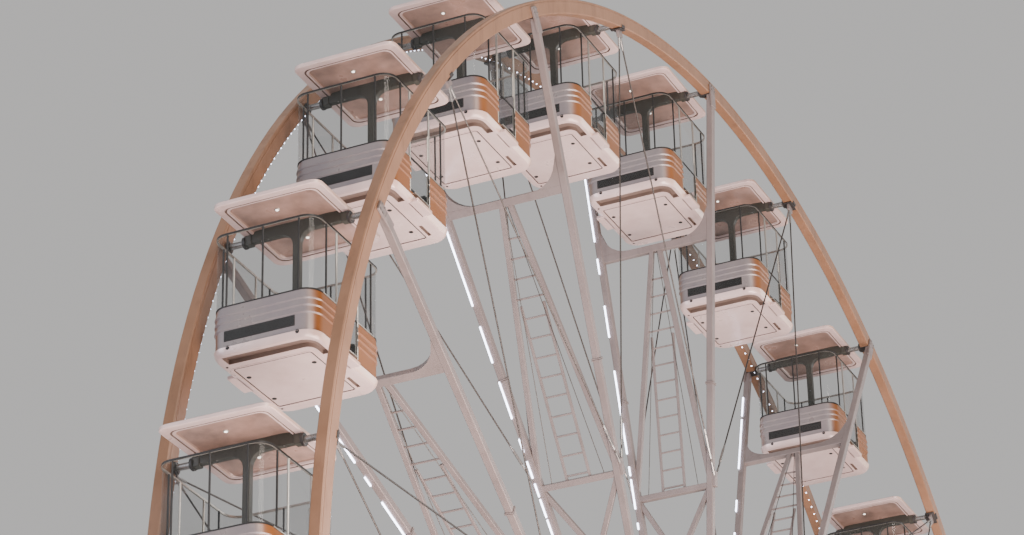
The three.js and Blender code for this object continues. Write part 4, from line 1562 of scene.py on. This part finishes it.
@dataclass
class Platform:
    """The boarding deck, the steps, the railings and the sills' ribs."""

    deck_x: float = 4.5
    deck_y: float = 4.45
    top: float = 1.0
    panels: int = 6
    panel: float = 0.02
    panel_gap: float = 0.004
    beam: float = 0.1
    post: float = 0.075
    post_foot: float = 0.14
    post_x: tuple[float, ...] = (-4.2, -1.4, 1.4, 4.2)
    # Rows of posts on the ground, with feet, and on the sills
    ground_y: tuple[float, ...] = (-2.2, 0.0, 2.2)
    sill_y: tuple[float, ...] = (-4.2, 4.2)
    sill_top: float = 0.4
    steps: int = 4
    run: float = 0.3
    tread: float = 0.03
    stair_half: float = 1.0
    stringer: tuple[float, float] = (0.02, 0.14)
    rail_height: float = 1.1
    lane: float = 1.45
    bar_pitch: float = 0.12
    bar: float = 0.008
    post_radius: float = 0.024
    # Height above the deck and radius of the railing's lower tubes
    tubes: tuple[tuple[float, float], ...] = ((0.54, 0.017), (0.1, 0.017))
    rib_x: tuple[float, ...] = (-7.55, -7.0, -2.6, 2.6, 7.0, 7.55)
    lug_x: tuple[float, ...] = (-7.55, -6.0, -4.4, 4.4, 6.0, 7.55)

    def _deck(self) -> bpy.types.Mesh:
        """Lay plate panels with dark gaps on an edge beam, on posts with feet.

        Returns:
            The mesh.
        """
        form = Form()
        x, y, top, post, pad = self.deck_x, self.deck_y, self.top, self.post, self.post_foot
        gap, step_x, step_y = self.panel_gap, 2 * x / self.panels, 2 * y / self.panels
        for i in range(self.panels):
            for j in range(self.panels):
                low = Vector((i * step_x - x, j * step_y - y, top - self.panel))
                form.box(low + Vector((gap, gap, 0)), low + Vector((step_x - gap, step_y - gap, self.panel)),
                         Finish.DECK, 0.003)
        form.box((0.01 - x, 0.01 - y, top - self.beam), (x - 0.01, y - 0.01, top - self.panel - 0.001),
                 Finish.BASE, 0.004)
        for x in self.post_x:
            for y in self.ground_y:
                form.box((x - post, y - post, 0.012), (x + post, y + post, top - 0.09), Finish.BASE, 0.006)
                form.box((x - pad, y - pad, 0.0), (x + pad, y + pad, 0.014), Finish.BASE, 0.003)
            for y in self.sill_y:
                form.box((x - post, y - post, self.sill_top + 0.0004), (x + post, y + post, top - 0.09),
                         Finish.BASE, 0.006)
        return form.mesh("deck")

    def _flight(self, side: Side) -> bpy.types.Mesh:
        """Build one flight of steps with nosings.

        Args:
            side: Its side of the wheel.

        Returns:
            The mesh.
        """
        form = Form()
        rise, edge, sy, half = self.top / (self.steps + 1), self.deck_y + FIT, side.value, self.stair_half
        for k in range(1, self.steps + 1):
            start, top = edge + (self.steps - k) * self.run, k * rise
            end, under = start + self.run, top - self.tread
            form.box((-half, sy * start, under), (half, sy * end, top), Finish.DECK, 0.004)
            form.box((0.02 - half, sy * start, 0 if k == 1 else under - rise),
                     (half - 0.02, sy * (end - 0.02), under), Finish.BASE)
            form.box((0.03 - half, sy * (end - 0.05), top), (half - 0.03, sy * (end - 0.01), top + 0.004),
                     Finish.TRIM)
        for sx in SIGNS:
            form.bar((sx * (half - 0.01), sy * (edge + 0.02), self.top - 0.14),
                     (sx * (half - 0.01), sy * (edge + self.steps * self.run - 0.10), 0.12),
                     *self.stringer, Finish.BASE, 0.003, across=(1, 0, 0))
        return form.mesh("steps")

    def _railing(self, side: Side, end: End) -> bpy.types.Mesh:
        """Build a corner railing of round tube with upright bars.

        Args:
            side: Its side of the wheel.
            end: Its end of the base.

        Returns:
            The mesh.
        """
        form = Form()
        x, y, start = self.deck_x - 0.06, self.deck_y - 0.06, self.stair_half + 0.05
        low, high = self.top + FIT, self.top + self.rail_height - 0.02
        corners = [Vector((end.value * u, side.value * v, 0))
                   for u, v in ((start, y), (x, y), (x, self.lane))]
        rows = [(high, self.post_radius), *((low + z, radius) for z, radius in self.tubes)]
        foot, head = Vector((0, 0, low)), Vector((0, 0, high))
        for a, b in zip(corners, corners[1:]):
            for z, radius in rows:
                lift = Vector((0, 0, z))
                form.rod(a + lift, b + lift, radius, 12, Finish.RAIL)
            for k in range(3):
                at = a.lerp(b, k / 2)
                form.rod(at + foot, at + head, self.post_radius, 12, Finish.RAIL)
                form.box(at + foot + Vector((-0.06, -0.06, 0)), at + foot + Vector((0.06, 0.06, 0.012)),
                         Finish.RAIL, 0.003)
            bars = int((b - a).length / self.bar_pitch)
            for k in range(1, bars):
                at = a.lerp(b, k / bars)
                form.rod(at + Vector((0, 0, low + 0.1)), at + head, self.bar, 6, Finish.RAIL)
        return form.mesh("railing")

    def _ribs(self, y: float) -> bpy.types.Mesh:
        """Shape the ribs and the anchor lugs along both faces of a sill.

        Args:
            y: The sill's middle line.

        Returns:
            The mesh.
        """
        form = Form()
        for places, wide, near, far, low, high, soft in (
                (self.rib_x, 0.012, 0.16, 0.252, 0.02, 0.38, 0.002),
                (self.lug_x, 0.11, 0.25, 0.29, 0.0, 0.05, 0.003)):
            for x in places:
                for sign in SIGNS:
                    form.box((x - wide, y + sign * near, low), (x + wide, y + sign * far, high),
                             Finish.BASE, soft)
        return form.mesh("ribs")

    def build(self) -> None:
        """Build the platform's pieces."""
        show(self._deck(), "platform_deck_plates", "support", "deck_aluminium", "platform_deck")
        for side in Side:
            tag = side.name.lower()
            show(self._flight(side), f"steps_{tag}_treads", "support", "deck_aluminium", f"steps_{tag}")
            for end in End:
                name = f"railing_{tag}_{end.name.lower()}"
                show(self._railing(side, end), f"{name}_tubes", "support", "railing_steel", name)
            show(self._ribs(side.value * self.sill_y[1]), f"sill_{tag}_ribs", "support", "base_paint")


@dataclass
class Studio:
    """The camera, the soft lights and the pale floor."""

    position: tuple[float, float, float] = (-48.546, -19.092, 2.879)
    yaw: float = 1.1424
    pitch: float = 0.4905
    roll: float = -0.023
    focal_pixels: float = 3472.4
    frame_pixels: int = 1024
    sensor: float = 36.0
    sky: str = "#dedcdb"
    sky_strength: float = 0.75
    floor_half: float = 260.0
    # Each lamp's name, place, target, side in metres, power in watts and colour
    lamps: tuple[tuple[str, tuple, tuple, float, float, str], ...] = (
        ("key", (-45, -40, 45), (0, 0, 18), 30, 26000, "#fff4ea"),
        ("fill", (-52, 42, 26), (0, 0, 20), 30, 24000, "#eef0ff"),
        ("bounce", (-22, -17, 0.6), (-22, -17, 26), 20, 30000, "#ffe9e0"),
        ("low sheet", (-1, -17, 0.6), (-1, -17, 26), 18, 16000, "#ffe9e0"),
        ("rim light", (30, -30, 30), (0, 0, 18), 24, 9000, "#ffffff"))

    def _camera(self) -> None:
        """Stand the camera where the photograph was taken."""
        data = bpy.data.cameras.new("camera")
        data.sensor_fit, data.sensor_width = "HORIZONTAL", self.sensor
        data.lens = self.focal_pixels / self.frame_pixels * self.sensor
        data.clip_end = 400.0
        level = math.cos(self.pitch)
        view = Vector((math.sin(self.yaw) * level, math.cos(self.yaw) * level, math.sin(self.pitch)))
        right = Vector((math.cos(self.yaw), -math.sin(self.yaw), 0))
        turn = Matrix((right, right.cross(view), -view)).transposed() @ Matrix.Rotation(self.roll, 3, "Z")
        camera = bpy.data.objects.new("camera", data)
        camera.matrix_world = Matrix.Translation(self.position) @ turn.to_4x4()
        bpy.context.scene.collection.objects.link(camera)
        bpy.context.scene.camera = camera

    def _lamp(self, name: str, place: Sequence[float], target: Sequence[float], size: float, power: float,
              colour: str) -> None:
        """Hang one large soft light.

        Args:
            name: Its name.
            place: Where it hangs.
            target: What it faces.
            size: The length of its sides.
            power: Its power in watts.
            colour: Its sRGB colour.
        """
        data = bpy.data.lights.new(name, "AREA")
        data.size, data.energy, data.color = size, power, linear(colour)[:3]
        lamp = bpy.data.objects.new(name, data)
        lamp.visible_camera = False
        way = Vector(target) - Vector(place)
        lamp.matrix_world = Matrix.Translation(place) @ way.to_track_quat("-Z", "Y").to_matrix().to_4x4()
        bpy.context.scene.collection.objects.link(lamp)

    def build(self) -> None:
        """Set the stage."""
        self._camera()
        world = bpy.data.worlds.new("studio")
        world.use_nodes = True
        sky = world.node_tree.nodes["Background"]
        sky.inputs[0].default_value, sky.inputs[1].default_value = linear(self.sky), self.sky_strength
        bpy.context.scene.world = world
        for lamp in self.lamps:
            self._lamp(*lamp)
        form = Form()
        half = self.floor_half
        form.box((-half, -half, -0.05), (half, half, -0.004), Finish.FLOOR)
        floor = bpy.data.objects.new("floor", form.mesh("floor"))
        bpy.context.scene.collection.objects.link(floor)


def dress(nodes: dict[str, bpy.types.Object]) -> None:
    """Give the CAD nodes that stay in view their finishes.

    Args:
        nodes: The CAD nodes by name.
    """
    finishes = {"axle": Finish.MACHINED, "tower": Finish.TOWER, "sill": Finish.BASE}
    for name, node in nodes.items():
        if node.hide_render:
            continue
        finish = next((finish for word, finish in finishes.items() if word in name), Finish.FRAME)
        node.data.materials.clear()
        node.data.materials.append(MATERIALS[finish])
        log.info("%s keeps its CAD shape in %s", name, finish.value)


def main() -> None:
    """Load the frame, build every sub-assembly and finish."""
    logging.basicConfig(level=logging.INFO, format="%(message)s")
    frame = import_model()
    for finish, recipe in FINISHES.items():
        MATERIALS[finish] = recipe.make(finish.value)
    Studio().build()
    for side in Side:
        Rim(side).build()
        StayCables(side).build()
    SpokeFrame().build()
    Hub().build()
    Cabin().build()
    Towers().build()
    Platform().build()
    dress(frame["nodes"])


if __name__ == "__main__":
    main()
